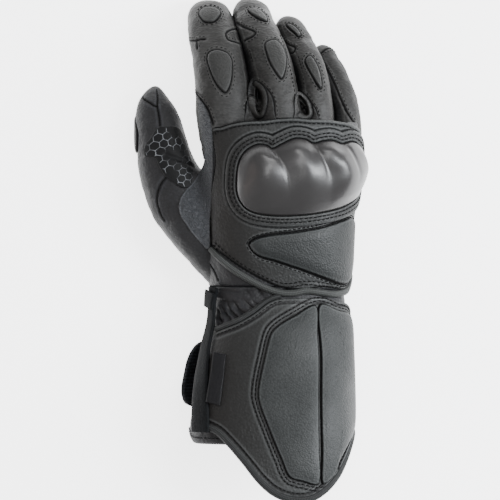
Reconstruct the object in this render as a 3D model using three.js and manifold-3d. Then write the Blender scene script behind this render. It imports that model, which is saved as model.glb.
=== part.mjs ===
// A winter motorcycle glove for the right hand, lying palm down with its fingers a little curled.
// Millimetres. +Z is up, +Y points to the fingertips and +X to the little finger; Z = 0 is the surface it lies on.
// The origin is on the flat of the palm, at the middle of the glove seen from above.
import * as THREE from "three";
import { mergeVertices } from "three/addons/utils/BufferGeometryUtils.js";
import Module from "manifold-3d";

const wasm = await Module();
wasm.setup();

// Thicknesses of the sewn layers.
const WALL = 2.4; // shell leather, membrane and warm lining together
const LEATHER = 1.4; // a single sewn-on layer
const GAP = 0.3; // clearance between neighbouring pieces
const CUFF_PANEL = 2.0; // the stiffened leather of the gauntlet
const PAD_RISE = 2.6; // foam pads on the fingers
const SURROUND_RISE = 2.4; // padded leather ring around the knuckle guard
const PIPING = 3.0; // width of the piping beads

// Stations along the glove where one tube piece ends and the next begins.
const KNUCKLE_Y = 84;
const WRIST_Y = -24;
const CUFF_Y = -50;
const HEM_Y = -127;

function table(columns, ...rows) {
  return rows.map((row) => Object.fromEntries(columns.map((name, i) => [name, row[i]])));
}

// The hand, wrist and cuff are one tube along Y. Each section has four extreme points, which are the left edge,
// crest, right edge and belly, joined by quarter superellipses. A belly below the floor is pressed flat on it.
const TRUNK = table(
  ["y", "leftX", "leftZ", "crestX", "crestZ", "rightX", "rightZ", "bellyX", "bellyZ", "floor"],
  [-172, -43, 30, 27, 67, 66, 31, 15, -4, 2.3],
  [-145, -42.5, 30, 27, 66.5, 66, 31, 15, -4, 2.3],
  [-118, -41, 29, 26, 65, 65.5, 30, 15, -4, 2.3],
  [-95, -38, 28, 25, 63, 64.8, 29, 15, -4, 2.3],
  [-70, -33, 26, 23, 60, 64.2, 27, 15, -3, 2.3],
  [-52, -28.5, 24, 20, 55, 64, 25, 15, -3, 2.3],
  [-38, -26.5, 22, 18, 49.5, 63.2, 22, 15, -3, 0],
  [-30, -27, 21, 17, 47.5, 62, 21, 15, -3, 0],
  [-20, -29, 21, 16, 49, 64, 20, 15, -3, 0],
  [-8, -30.5, 22, 15, 51, 64.6, 20, 14, -3, 0],
  [10, -30, 25, 13, 54, 65.2, 20, 14, -3, 0],
  [30, -29, 29, 12, 57, 68.2, 21, 15, 0, 0],
  [50, -31, 34, 11, 59, 70.6, 23, 16, 5, 0],
  [66, -31.5, 39, 9, 60, 71.4, 24, 18, 9, 0],
  [84, -35, 43, 8, 60, 71.2, 24, 20, 12, 0],
  [92, -36, 44, 8, 58, 70.5, 24, 20, 14, 0],
);
const TOP_POWER = 2.3;
const BELLY_POWER = 2.5;

// Digits: the centre line from root to fingertip, with the half width and half height of each section.
const DIGITS = {
  index: {
    tilt: 0,
    nose: 13,
    rows: table(
      ["x", "y", "z", "width", "height"],
      [-16, 62, 40, 15.5, 13.5],
      [-19, 86, 43.5, 16.8, 14.5],
      [-19.3, 104, 43.5, 17.4, 14.5],
      [-22, 125, 36.5, 16.6, 13],
      [-26, 144, 23.5, 15.6, 12],
      [-28, 156, 10.5, 14.2, 11],
      [-28, 161.5, 1.5, 12, 9],
    ),
  },
  middle: {
    tilt: 18,
    nose: 12,
    rows: table(
      ["x", "y", "z", "width", "height"],
      [20, 62, 42, 13, 13],
      [18.7, 86, 45, 13.4, 14],
      [16.3, 105, 44.3, 13.9, 13.8],
      [11.5, 126, 37, 13.8, 12.8],
      [4, 145, 24, 13.2, 11.6],
      [0, 157, 10.8, 12.6, 10.6],
      [-1.5, 162, 2, 10.5, 9],
    ),
  },
  ring: {
    tilt: 34,
    nose: 11,
    rows: table(
      ["x", "y", "z", "width", "height"],
      [45, 62, 34, 9.8, 12],
      [43.2, 86, 36, 10.4, 12.4],
      [41.3, 102, 35.4, 10.9, 12],
      [37.7, 119, 29.4, 11, 11.2],
      [31, 135, 19, 10.8, 10.4],
      [25.5, 146, 10.3, 10.2, 9.6],
      [22, 152.4, 3.2, 9, 8.4],
    ),
  },
  little: {
    tilt: 55,
    nose: 10,
    rows: table(
      ["x", "y", "z", "width", "height"],
      [64, 62, 23, 8.6, 10.2],
      [62.6, 86, 23.6, 8.7, 10.2],
      [60.4, 99, 21.8, 8.8, 9.8],
      [56, 112, 17, 8.8, 9.4],
      [50.6, 123, 11.4, 8.6, 9],
      [47, 130, 7.2, 8, 8.4],
      [44.6, 134.2, 3.4, 7.2, 7.4],
    ),
  },
  thumb: {
    tilt: -18,
    nose: 22,
    rows: table(
      ["x", "y", "z", "width", "height"],
      [-16, -14, 19, 14, 16],
      [-33, 10, 22, 18, 18],
      [-46, 30, 22, 20.5, 17],
      [-54.5, 50, 20, 19.4, 15],
      [-59, 68, 17.5, 17.4, 13.6],
      [-61.4, 82, 14.5, 15.6, 12.2],
      [-64, 96, 11.5, 12.8, 10.6],
      [-63.6, 109, 8.5, 9, 8.6],
    ),
  },
};
const DIGIT_POWER = 2.25;

// Soft folds around the wrist, where an elastic gathers the leather.
const GATHERS = { pitch: (WRIST_Y - CUFF_Y) / 3, depth: 0.9 };

// The hard guard's height over its rim, and that of each knuckle's bulge over the dome.
const GUARD_DOME = 5.6;
const GUARD_BULGE = 4;

const FACETS = {
  trunk: { sides: 28, inner: 24 },
  finger: { sides: 12, stations: 9, inner: 10, innerStations: 6 },
  thumb: { sides: 14, stations: 9, inner: 12, innerStations: 6 },
};
const SPINE_SHARE = 0.94; // how far in the innermost ring of a blanket is
const FOOT = 2.5; // how far a sewn-on piece is modelled below its base before it is cut there

// A cubic through the rows of a table, read at a value of one column. Each slope comes from the two neighbours.
function readTable(rows, by, value) {
  const last = rows.length - 1;
  let i = 0;
  while (i < last - 1 && value > rows[i + 1][by]) i++;
  const span = rows[i + 1][by] - rows[i][by];
  const t = THREE.MathUtils.clamp((value - rows[i][by]) / span, 0, 1);
  const slope = (key, k) => {
    const a = rows[Math.max(0, k - 1)];
    const b = rows[Math.min(last, k + 1)];
    return (b[key] - a[key]) / (b[by] - a[by]);
  };
  const made = {};
  for (const key of Object.keys(rows[0])) {
    const from = rows[i][key];
    const to = rows[i + 1][key];
    const rise = to - from;
    const m0 = slope(key, i) * span;
    const m1 = slope(key, i + 1) * span;
    made[key] = from + t * (m0 + t * (3 * rise - 2 * m0 - m1 + t * (m0 + m1 - 2 * rise)));
  }
  return made;
}

const signedPower = (v, power) => Math.sign(v) * Math.abs(v) ** power;

// The height of the wrist's folds, which are deepest over the back and fade out at both ends.
function gather(y, angle) {
  if (y <= CUFF_Y || y >= WRIST_Y) return 0;
  const wave = Math.cos((2 * Math.PI * (y - CUFF_Y)) / GATHERS.pitch) - 1;
  return (GATHERS.depth / 2) * wave * Math.max(0, 0.6 + 0.4 * Math.sin(angle));
}

// The trunk's surface. A place on it is "girth", the distance around from the crest with + to the right, and y.
const trunk = {
  // A point of one section: angle 0 is the right edge, 90 the crest, 180 the left edge and 270 the belly.
  section(row, angle) {
    const c = Math.cos(angle);
    const s = Math.sin(angle);
    const top = s >= 0;
    const midX = top ? row.crestX : row.bellyX;
    const reachZ = top ? row.crestZ : row.bellyZ;
    const [edgeX, edgeZ] = c >= 0 ? [row.rightX, row.rightZ] : [row.leftX, row.leftZ];
    const power = 2 / (top ? TOP_POWER : BELLY_POWER);
    return new THREE.Vector2(
      midX + (edgeX - midX) * Math.abs(c) ** power,
      edgeZ + (reachZ - edgeZ) * Math.abs(s) ** power,
    );
  },
  // The point at that angle, moved outwards by lift and kept off the floor.
  atAngle(angle, y, lift) {
    const row = readTable(TRUNK, "y", y);
    const step = 0.02;
    const p = this.section(row, angle);
    const along = this.section(row, angle + step).sub(this.section(row, angle - step)).normalize();
    const out = lift < 0 ? lift - GATHERS.depth * (gather(y, angle) < 0) : lift + gather(y, angle);
    return new THREE.Vector3(p.x + along.y * out, y, Math.max(p.y - along.x * out, Math.max(0, row.floor) - lift));
  },
  // Distances around the section at y, as [angle, girth] pairs from the crest, rightwards to the belly.
  girths(y) {
    const row = readTable(TRUNK, "y", y);
    const walk = (direction) => {
      const found = [[Math.PI / 2, 0]];
      let before = this.section(row, Math.PI / 2);
      let length = 0;
      for (let i = 1; i <= 60; i++) {
        const angle = Math.PI / 2 + (direction * i * Math.PI) / 60;
        const here = this.section(row, angle);
        length += here.distanceTo(before);
        before = here;
        found.push([angle, -direction * length]);
      }
      return found;
    };
    return [...walk(1).reverse(), ...walk(-1).slice(1)];
  },
  angleAt(girth, y) {
    const found = this.girths(y);
    let i = 0;
    while (i < found.length - 2 && girth > found[i + 1][1]) i++;
    const [a, b] = [found[i], found[i + 1]];
    return a[0] + ((b[0] - a[0]) * (girth - a[1])) / (b[1] - a[1]);
  },
  place(girth, y, lift) {
    return this.atAngle(this.angleAt(girth, y), y, lift);
  },
  // The place seen from above at x, y. "past" goes on around the right side by that many millimetres.
  find(x, y, past = 0) {
    const row = readTable(TRUNK, "y", y);
    let low = 0;
    let high = Math.PI;
    for (let i = 0; i < 30; i++) {
      const middle = (low + high) / 2;
      if (this.section(row, middle).x > x) low = middle;
      else high = middle;
    }
    const angle = (low + high) / 2;
    const found = this.girths(y);
    const i = found.findIndex((f) => f[0] <= angle);
    const [a, b] = [found[Math.max(0, i - 1)], found[i]];
    const share = a[0] === b[0] ? 0 : (angle - a[0]) / (b[0] - a[0]);
    return [a[1] + share * (b[1] - a[1]) + past, y];
  },
};

// A digit's surface. A place on it is "across", the distance around from the line of its nails with + to the
// right, and "back", the distance back from the fingertip.
function digitSkin({ rows, tilt, nose }) {
  const stepped = rows.map((row, i) => ({ ...row, i }));
  const count = 80;
  const line = [];
  let length = 0;
  for (let k = 0; k <= count; k++) {
    const row = readTable(stepped, "i", ((rows.length - 1) * (count - k)) / count);
    const at = new THREE.Vector3(row.x, row.y, row.z);
    if (line.length) length += at.distanceTo(line[line.length - 1].at);
    line.push({ at, back: length, width: row.width, height: row.height });
  }
  line.forEach((here, k) => {
    const before = line[Math.max(0, k - 1)].at;
    const after = line[Math.min(count, k + 1)].at;
    here.forward = before.clone().sub(after).normalize();
  });
  const lean = THREE.MathUtils.degToRad(tilt);
  const up = new THREE.Vector3(Math.sin(lean), 0, Math.cos(lean));
  return {
    length,
    at(back) {
      const b = THREE.MathUtils.clamp(back, 0, length);
      let k = 0;
      while (k < count - 1 && b > line[k + 1].back) k++;
      const t = (b - line[k].back) / (line[k + 1].back - line[k].back);
      const mix = (key) => THREE.MathUtils.lerp(line[k][key], line[k + 1][key], t);
      const forward = line[k].forward.clone().lerp(line[k + 1].forward, t).normalize();
      const top = up.clone().addScaledVector(forward, -up.dot(forward)).normalize();
      const round = back >= nose ? 1 : Math.sqrt(1 - (1 - Math.max(0, back) / nose) ** 2.2);
      return {
        centre: line[k].at.clone().lerp(line[k + 1].at, t),
        right: forward.clone().cross(top),
        top,
        width: mix("width") * round,
        height: mix("height") * round,
      };
    },
    // The point at that angle from the top line, moved outwards by lift and kept off the floor.
    atAngle(angle, back, lift) {
      const here = this.at(back);
      const s = signedPower(Math.sin(angle), 2 / DIGIT_POWER);
      const c = signedPower(Math.cos(angle), 2 / DIGIT_POWER);
      const p = here.centre
        .clone()
        .addScaledVector(here.right, s * (here.width + lift))
        .addScaledVector(here.top, c * (here.height + lift));
      p.z = Math.max(p.z, -lift);
      return p;
    },
    place(across, back, lift) {
      const here = this.at(Math.max(back, nose));
      return this.atAngle((2 * across) / (here.width + here.height), back, lift);
    },
    // The place seen from above at x, y, found by halving the step of a search over the upper side.
    find(x, y) {
      const target = new THREE.Vector2(x, y);
      const missBy = ([across, back]) => {
        const p = this.place(across, back, 0);
        const under = Math.max(0, this.at(Math.max(back, nose)).centre.z - p.z);
        return Math.hypot(p.x - target.x, p.y - target.y) + under;
      };
      let best = [0, Math.min(length, Math.max(3, rows[rows.length - 1].y - y))];
      for (let step = 8; step > 0.02; step /= 2)
        for (let turn = 0; turn < 12; turn++)
          for (const [da, db] of [[step, 0], [-step, 0], [0, step], [0, -step]]) {
            const next = [best[0] + da, Math.max(0.5, best[1] + db)];
            if (missBy(next) < missBy(best)) best = next;
          }
      return best;
    },
  };
}

// A closed mesh from rings of points: each ring is joined to the next, and the two ends are closed by fans.
function ringedSolid(rings) {
  const size = rings[0].length;
  const points = rings.flat();
  const faces = [];
  for (let r = 0; r + 1 < rings.length; r++)
    for (let i = 0; i < size; i++) {
      const [a, b] = [r * size + i, r * size + ((i + 1) % size)];
      faces.push(a, b, b + size, a, b + size, a + size);
    }
  [0, rings.length - 1].forEach((r, end) => {
    const middle = points.length;
    points.push(rings[r].reduce((sum, p) => sum.add(p), new THREE.Vector3()).divideScalar(size));
    for (let i = 0; i < size; i++) {
      const [a, b] = [r * size + i, r * size + ((i + 1) % size)];
      faces.push(...(end ? [a, b, middle] : [b, a, middle]));
    }
  });
  return meshFrom(points, faces);
}

function meshFrom(points, faces) {
  const geometry = new THREE.BufferGeometry().setFromPoints(points).setIndex(faces);
  return facingOut(mergeVertices(geometry, 1e-4));
}

function signedVolume(geometry) {
  const at = geometry.attributes.position;
  const corner = (i) => new THREE.Vector3().fromBufferAttribute(at, geometry.index.getX(i));
  let sum = 0;
  for (let i = 0; i < geometry.index.count; i += 3)
    sum += corner(i).dot(corner(i + 1).cross(corner(i + 2)));
  return sum / 6;
}

// Drops faces that have no area, and turns a mesh that is inside out.
function facingOut(geometry) {
  const index = geometry.index.array;
  const kept = [];
  for (let i = 0; i < index.length; i += 3) {
    const [a, b, c] = index.subarray(i, i + 3);
    if (a !== b && b !== c && a !== c) kept.push(a, b, c);
  }
  geometry.setIndex(kept);
  if (signedVolume(geometry) < 0) geometry.setIndex(kept.reverse());
  return geometry;
}

function toSolid(geometry) {
  return new wasm.Manifold(
    new wasm.Mesh({
      numProp: 3,
      vertProperties: new Float32Array(geometry.attributes.position.array),
      triVerts: new Uint32Array(geometry.index.array),
    }),
  );
}

function toGeometry(solid) {
  const { numProp, vertProperties, triVerts } = solid.getMesh();
  const points = [];
  for (let i = 0; i < vertProperties.length; i += numProp)
    points.push(new THREE.Vector3(...vertProperties.subarray(i, i + 3)));
  return meshFrom(points, Array.from(triVerts));
}

// The largest body of a solid, without the crumbs that a cut can leave.
function mainBody(solid) {
  return solid.decompose().reduce((a, b) => (b.volume() > a.volume() ? b : a));
}

// The facets of the trunk at some height over its leather. Every layer of the trunk is cut from these same
// facets, so the clearance between two layers is even. The hollow, below the leather, has fewer of them.
function trunkBar(lift) {
  const inner = lift < 0;
  const stretch = (from, to, parts) => Array.from({ length: parts }, (_, k) => from + ((to - from) * k) / parts);
  const ys = [
    ...stretch(HEM_Y - 45, HEM_Y, 3),
    ...stretch(HEM_Y, CUFF_Y, inner ? 3 : 4),
    ...stretch(CUFF_Y, WRIST_Y, inner ? 2 : 6),
    ...stretch(WRIST_Y, KNUCKLE_Y, inner ? 6 : 9),
    KNUCKLE_Y,
    KNUCKLE_Y + 8,
  ];
  const sides = inner ? FACETS.trunk.inner : FACETS.trunk.sides;
  const rings = ys.map((y) => {
    const ring = [];
    for (let i = 0; i < sides; i++) ring.push(trunk.atAngle((2 * Math.PI * i) / sides, y, lift));
    return ring;
  });
  return toSolid(ringedSolid(rings));
}

const bars = new Map();
function barAt(lift) {
  if (!bars.has(lift)) bars.set(lift, trunkBar(lift));
  return bars.get(lift);
}

// A digit as a solid bar. "short" moves the fingertip back.
function digitBar(name, lift, short = 0) {
  const skin = skins[name];
  const facets = name === "thumb" ? FACETS.thumb : FACETS.finger;
  const sides = lift < 0 ? facets.inner : facets.sides;
  const stations = lift < 0 ? facets.innerStations : facets.stations;
  const rings = [];
  for (let k = 0; k <= stations; k++) {
    const back = short + (skin.length - short) * (k / stations) ** 1.3;
    const ring = [];
    for (let i = 0; i < sides; i++)
      ring.push(skin.atAngle((2 * Math.PI * i) / sides, Math.max(back, 0.4 + short), lift));
    rings.push(ring);
  }
  return toSolid(ringedSolid(rings));
}

function slab(fromY, toY) {
  const box = new THREE.BoxGeometry(400, toY - fromY, 400).translate(0, (fromY + toY) / 2, 0);
  box.deleteAttribute("normal");
  box.deleteAttribute("uv");
  return toSolid(facingOut(mergeVertices(box)));
}

// A smooth closed outline through points seen from above, as places on a skin. A third number goes "past" the side.
function outlineOn(skin, points, segments) {
  const places = points.map(([x, y, past]) => skin.find(x, y, past));
  const curve = new THREE.CatmullRomCurve3(
    places.map(([a, b]) => new THREE.Vector3(a, b, 0)),
    true,
    "centripetal",
  );
  return curve.getSpacedPoints(segments).slice(0, segments).map((p) => [p.x, p.y]);
}

function pathOn(skin, points, segments) {
  const places = points.map(([x, y, past]) => new THREE.Vector3(...skin.find(x, y, past), 0));
  const curve = new THREE.CatmullRomCurve3(places, false, "centripetal");
  return curve.getSpacedPoints(segments).map((p) => [p.x, p.y]);
}

// Triangles that fill a long thin loop. They run between its two sides, from one end of the spine to the other.
function zip(loop, [from, to]) {
  const along = loop.map(([a, b]) => (a - from[0]) * (to[0] - from[0]) + (b - from[1]) * (to[1] - from[1]));
  const count = loop.length;
  const start = along.indexOf(Math.min(...along));
  const end = along.indexOf(Math.max(...along));
  const triangles = [];
  let [ahead, behind] = [start, start];
  while (ahead !== end || behind !== end) {
    const [next, previous] = [(ahead + 1) % count, (behind + count - 1) % count];
    if (behind === end || (ahead !== end && along[next] < along[previous])) {
      triangles.push([behind, ahead, next]);
      ahead = next;
    } else {
      triangles.push([behind, ahead, previous]);
      behind = previous;
    }
  }
  return triangles.filter(([a, b, c]) => a !== b && b !== c && a !== c);
}

// A closed mesh over a skin inside an outline, in rings from the rim to a spine. "top" gives the height of its
// upper face at a share of the way in, and its lower face is at "base".
function blanket({ skin, outline, spine, rings, base, top }) {
  const [s0, s1] = spine;
  const nearest = ([a, b]) => {
    const run = [s1[0] - s0[0], s1[1] - s0[1]];
    const square = run[0] ** 2 + run[1] ** 2 || 1;
    const t = ((a - s0[0]) * run[0] + (b - s0[1]) * run[1]) / square;
    const clamped = THREE.MathUtils.clamp(t, 0, 1);
    return [s0[0] + run[0] * clamped, s0[1] + run[1] * clamped];
  };
  const placesAt = (share) =>
    outline.map((place) => {
      const inner = nearest(place);
      return [THREE.MathUtils.lerp(place[0], inner[0], share), THREE.MathUtils.lerp(place[1], inner[1], share)];
    });
  const count = outline.length;
  const points = [];
  for (let k = rings; k >= 0; k--)
    for (const [a, b] of placesAt((k / rings) * SPINE_SHARE)) points.push(skin.place(a, b, base));
  for (let k = 0; k <= rings; k++)
    for (const [a, b] of placesAt((k / rings) * SPINE_SHARE))
      points.push(skin.place(a, b, top((k / rings) * SPINE_SHARE, a, b)));
  const faces = [];
  for (let r = 0; r <= 2 * rings; r++)
    for (let i = 0; i < count; i++) {
      const [a, b] = [r * count + i, r * count + ((i + 1) % count)];
      faces.push(a, b, b + count, a, b + count, a + count);
    }
  const last = (2 * rings + 1) * count;
  for (const [a, b, c] of zip(placesAt(SPINE_SHARE), spine)) faces.push(c, b, a, a + last, b + last, c + last);
  return meshFrom(points, faces);
}

// A bead or band carried along a path on a skin. The profile is a closed row of [sideways, lift] pairs.
function band({ skin, path, profile, closed = false }) {
  const count = path.length;
  const rings = path.map((place, k) => {
    const before = path[closed ? (k + count - 1) % count : Math.max(0, k - 1)];
    const after = path[closed ? (k + 1) % count : Math.min(count - 1, k + 1)];
    const run = new THREE.Vector2(after[0] - before[0], after[1] - before[1]).normalize();
    const rows = typeof profile === "function" ? profile(k / (count - 1)) : profile;
    return rows.map(([side, lift]) => skin.place(place[0] + run.y * side, place[1] - run.x * side, lift));
  });
  if (!closed) return ringedSolid(rings);
  const size = rings[0].length;
  const faces = [];
  rings.forEach((ring, k) => {
    for (let i = 0; i < size; i++) {
      const next = (k + 1) % count;
      const [a, b] = [k * size + i, k * size + ((i + 1) % size)];
      const [c, d] = [next * size + i, next * size + ((i + 1) % size)];
      faces.push(a, b, d, a, d, c);
    }
  });
  return meshFrom(rings.flat(), faces);
}

// A bead's profile, rounded on top and flat below.
function beadProfile(width, base, height) {
  const half = width / 2;
  return [
    [-half, base],
    [-half, base + height * 0.45],
    [-half * 0.5, base + height],
    [half * 0.5, base + height],
    [half, base + height * 0.45],
    [half, base],
  ];
}

// Seats a piece of the trunk: cuts off all of it below that height over the leather.
function seated(geometry, base) {
  return toGeometry(mainBody(toSolid(geometry).subtract(barAt(base))));
}

// A flat layer of the trunk, between two heights over the leather.
function layer(cutter, base, top) {
  return toGeometry(mainBody(toSolid(cutter).intersect(barAt(top)).subtract(barAt(base))));
}

const skins = Object.fromEntries(Object.entries(DIGITS).map(([name, digit]) => [name, digitSkin(digit)]));
const FINGERS = ["index", "middle", "ring", "little"];

// The hollow of a digit reaches into the hand, so that the space inside is one.
const hollowOf = (name) => digitBar(name, -WALL, WALL);

function makeHandBody() {
  const body = barAt(0).intersect(slab(WRIST_Y, KNUCKLE_Y - WALL - GAP)).subtract(barAt(-WALL));
  return toGeometry(mainBody(body.subtract(hollowOf("thumb"))));
}

// The leather that joins the roots of the fingers, and closes the hand between them.
function makeFingerWeb() {
  let web = barAt(0).intersect(slab(KNUCKLE_Y - WALL, KNUCKLE_Y));
  for (const name of FINGERS) web = web.subtract(hollowOf(name));
  return toGeometry(mainBody(web));
}

// Each finger is pressed a little flat against the one before it.
function makeFinger(name, before) {
  let wall = digitBar(name, 0).subtract(hollowOf(name)).intersect(slab(KNUCKLE_Y + GAP, 200));
  if (before) wall = wall.subtract(digitBar(before, GAP));
  return toGeometry(mainBody(wall));
}

function makeThumb() {
  const wall = digitBar("thumb", 0).subtract(hollowOf("thumb"));
  return toGeometry(mainBody(wall.subtract(barAt(GAP))));
}

function makeWristGather() {
  return toGeometry(barAt(0).intersect(slab(CUFF_Y + GAP, WRIST_Y - GAP)).subtract(barAt(-WALL)));
}

function makeCuffInner() {
  return toGeometry(barAt(0).intersect(slab(HEM_Y, CUFF_Y)).subtract(barAt(-WALL)));
}

// Outlines seen from above. The right-hand ones go on around the side of the hand by the third number.
const BACK_PANEL = [
  [-24.5, 78.5], [-15, 81], [-3, 82.5], [12, 83.2], [28, 83.4], [42, 83.4], [56, 83.2], [65, 82, 0],
  [69, 78, 4], [70.5, 62, 9], [69, 40, 9], [66, 20, 9], [64, 0, 9], [63, -16, 6],
  [60.5, -25.5, 0], [48, -24, 0], [34, -25.5], [20, -24], [8, -19], [-6, -11], [-17, -3], [-25, 4],
  [-26, 18], [-25, 36], [-23.5, 48], [-22.5, 62],
];
const GUARD = [
  [-8.5, 50], [-7, 58], [-3, 64.5], [4, 68.5], [10, 68], [14, 66], [20, 69], [28, 72.5], [35, 72], [40, 69.5],
  [46, 71], [52, 71.5], [58, 69.5], [63.5, 71], [67.5, 70], [70, 65, 2], [70.5, 55, 5.5], [69.8, 45, 4],
  [67.5, 36, 1.5], [62.5, 30.5], [55, 27], [42, 24], [28, 22.5], [14, 22.5], [2, 24.5], [-5, 29.5], [-8.5, 38],
];
const PAD = [
  [-0.5, 3], [3, 7], [12, 9.5], [28, 11.5], [44, 14.5], [58, 19], [64, 21, 0], [65.5, 16, 3], [64.5, 0, 5],
  [63.5, -14, 4], [61.5, -21, 1], [58, -22], [48, -18.5], [32, -12.5], [16, -7], [5, -3.5],
];
const PLATE_LEFT = [
  [41.5, -36.5], [28, -43], [16.5, -50.5], [12.5, -57], [8.5, -74], [5.5, -90], [6, -99], [12, -116], [20, -136],
  [25, -147], [34, -150], [42, -151], [42.5, -130], [42, -95], [41.5, -60],
];
const PLATE_RIGHT = [
  [45.5, -36.5], [55, -39.5], [62, -43.5, 1], [63, -58, 5], [63.5, -85, 8], [63.5, -108, 8], [63, -118, 4], [60.5, -127],
  [55.5, -137.5], [52, -147], [46.5, -150.5], [46, -130], [45.5, -95], [45, -60],
];
const HEM_LINE = [
  [-28, -113.5], [-20, -117.5], [-12, -125.5], [-3, -136], [7, -148.5], [16, -156.3], [26, -160.2], [37, -160.2],
  [46, -155.3], [54, -146.5], [59.5, -136], [63, -126, 1], [64, -119, 8], [64, -118, 22],
];
const TOP_LINE = [
  [-21.5, -54], [-9, -48.5], [2, -42], [12, -34.5], [20, -32], [34, -31.5], [48, -31.6], [56, -34], [60, -35, 1],
  [62, -40, 9], [62.5, -42, 22],
];
const WRIST_LINE = [
  [-25.5, 0.5], [-18, -6.5], [-8, -13.5], [4, -20.5], [14, -25.5], [24, -28.3], [34, -28.6], [44, -27.5], [54, -28.6],
  [59, -29.3, 0], [63, -26, 1.5], [64, -18, 5],
];

function makeBackPanel() {
  const outline = outlineOn(trunk, BACK_PANEL, 40);
  const spine = [trunk.find(20, 60), trunk.find(22, 5)];
  const base = GAP;
  const cutter = blanket({ skin: trunk, outline, spine, rings: 4, base: base - FOOT, top: () => base + 6 });
  return layer(cutter, base, base + LEATHER);
}

const PANEL_TOP = GAP + LEATHER + GAP;

// The padded ring of leather around the guard.
function makeGuardSurround() {
  const ring = outlineOn(trunk, GUARD, 32);
  const profile = [
    [0.7, PANEL_TOP - FOOT],
    [0.7, PANEL_TOP + SURROUND_RISE * 0.8],
    [2.8, PANEL_TOP + SURROUND_RISE],
    [5, PANEL_TOP + SURROUND_RISE * 0.7],
    [6.4, PANEL_TOP - FOOT],
  ].map(([side, lift]) => [-side, lift]);
  return seated(band({ skin: trunk, path: ring, profile, closed: true }), PANEL_TOP);
}

// The hard guard: a dome with one bulge over each of the four knuckles, parted by shallow valleys.
const KNUCKLES = [
  { x: 4, y: 50 },
  { x: 28, y: 52 },
  { x: 50, y: 51 },
  { x: 66, y: 49 },
];
function makeKnuckleGuard() {
  const outline = outlineOn(trunk, GUARD, 36);
  const spine = [trunk.find(8, 47), trunk.find(60, 50)];
  const centres = KNUCKLES.map(({ x, y }) => trunk.find(x, y));
  const dome = (share) => GUARD_DOME * (1 - (1 - Math.min(1, share * 1.15)) ** 2.4);
  const bulge = (a, b) =>
    Math.max(...centres.map(([ca, cb]) => Math.exp(-(((a - ca) / 8.5) ** 2) - ((b - cb) / 17) ** 2)));
  const rise = (share, a, b) => 1.4 + dome(share) + GUARD_BULGE * bulge(a, b) * Math.min(1, share * 2.5);
  const top = (...place) => PANEL_TOP + rise(...place);
  return seated(blanket({ skin: trunk, outline, spine, rings: 5, base: PANEL_TOP - FOOT, top }), PANEL_TOP);
}

const crowned = (base, edge, crown) => (share) => base + edge + crown * (1 - (1 - Math.min(1, share * 2)) ** 2);

function makeMetacarpalPad() {
  const outline = outlineOn(trunk, PAD, 30);
  const spine = [trunk.find(14, 2), trunk.find(56, 1)];
  const top = crowned(PANEL_TOP, 1, 2);
  return seated(blanket({ skin: trunk, outline, spine, rings: 3, base: PANEL_TOP - FOOT, top }), PANEL_TOP);
}

function makeWristPiping() {
  const path = pathOn(trunk, WRIST_LINE, 28);
  return band({ skin: trunk, path, profile: beadProfile(PIPING + 0.8, GAP, 3) });
}

// The gauntlet lies on the inner cuff, from its left edge beside the strap, over the back and around the right side.
const GAUNTLET_LEFT = [[-21.5, -54], [-26.5, -72], [-30, -92], [-30, -110]];
const GAUNTLET = { across: 24, along: 6 };
const topPath = pathOn(trunk, TOP_LINE, GAUNTLET.across);
const hemPath = pathOn(trunk, HEM_LINE, GAUNTLET.across);

function makeGauntlet() {
  const { across, along } = GAUNTLET;
  const left = pathOn(trunk, GAUNTLET_LEFT, along);
  const rings = [];
  for (let k = 0; k <= along; k++) {
    const t = k / along;
    const row = topPath.map((place, i) => {
      const drift = (1 - i / across) ** 6 * Math.sin(Math.PI * t);
      const a = THREE.MathUtils.lerp(place[0], hemPath[i][0], t);
      const b = THREE.MathUtils.lerp(place[1], hemPath[i][1], t);
      return [THREE.MathUtils.lerp(a, left[k][0], drift), THREE.MathUtils.lerp(b, left[k][1], drift)];
    });
    const upper = row.map(([a, b]) => trunk.place(a, b, GAP + CUFF_PANEL + 3));
    const lower = row.map(([a, b]) => trunk.place(a, b, GAP - FOOT)).reverse();
    rings.push([...upper, ...lower]);
  }
  return layer(ringedStrip(rings), GAP, GAP + CUFF_PANEL);
}

// Rings of a flat loop: like ringedSolid, with each end closed by a strip in place of a fan.
function ringedStrip(rings) {
  const size = rings[0].length;
  const half = size / 2;
  const points = rings.flat();
  const faces = [];
  for (let r = 0; r + 1 < rings.length; r++)
    for (let i = 0; i < size; i++) {
      const [a, b] = [r * size + i, r * size + ((i + 1) % size)];
      faces.push(a, b, b + size, a, b + size, a + size);
    }
  [0, rings.length - 1].forEach((r, end) => {
    for (let i = 0; i + 1 < half; i++) {
      const [a, b] = [r * size + i, r * size + i + 1];
      const [c, d] = [r * size + size - 1 - i, r * size + size - 2 - i];
      faces.push(...(end ? [a, b, d, a, d, c] : [b, a, d, a, c, d]));
    }
  });
  return meshFrom(points, faces);
}

const PLATE_BASE = GAP + CUFF_PANEL + GAP;
function makePlate(points, spinePoints) {
  const outline = outlineOn(trunk, points, 28);
  const spine = spinePoints.map(([x, y, past]) => trunk.find(x, y, past));
  const top = crowned(PLATE_BASE, 1.6, 1.2);
  return seated(blanket({ skin: trunk, outline, spine, rings: 2, base: PLATE_BASE - FOOT, top }), PLATE_BASE);
}

function makeCuffTopPiping() {
  const path = topPath.slice(0, 7).map(([a, b]) => [a, b + PIPING / 2 + GAP + 0.3]);
  return band({ skin: trunk, path, profile: beadProfile(PIPING, GAP, 2.6) });
}

function makeHemBinding() {
  const profile = beadProfile(3.4, GAP, 2.8).map(([side, lift]) => [side + 1.7 + GAP + 0.3, lift]);
  return band({ skin: trunk, path: hemPath, profile });
}

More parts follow.
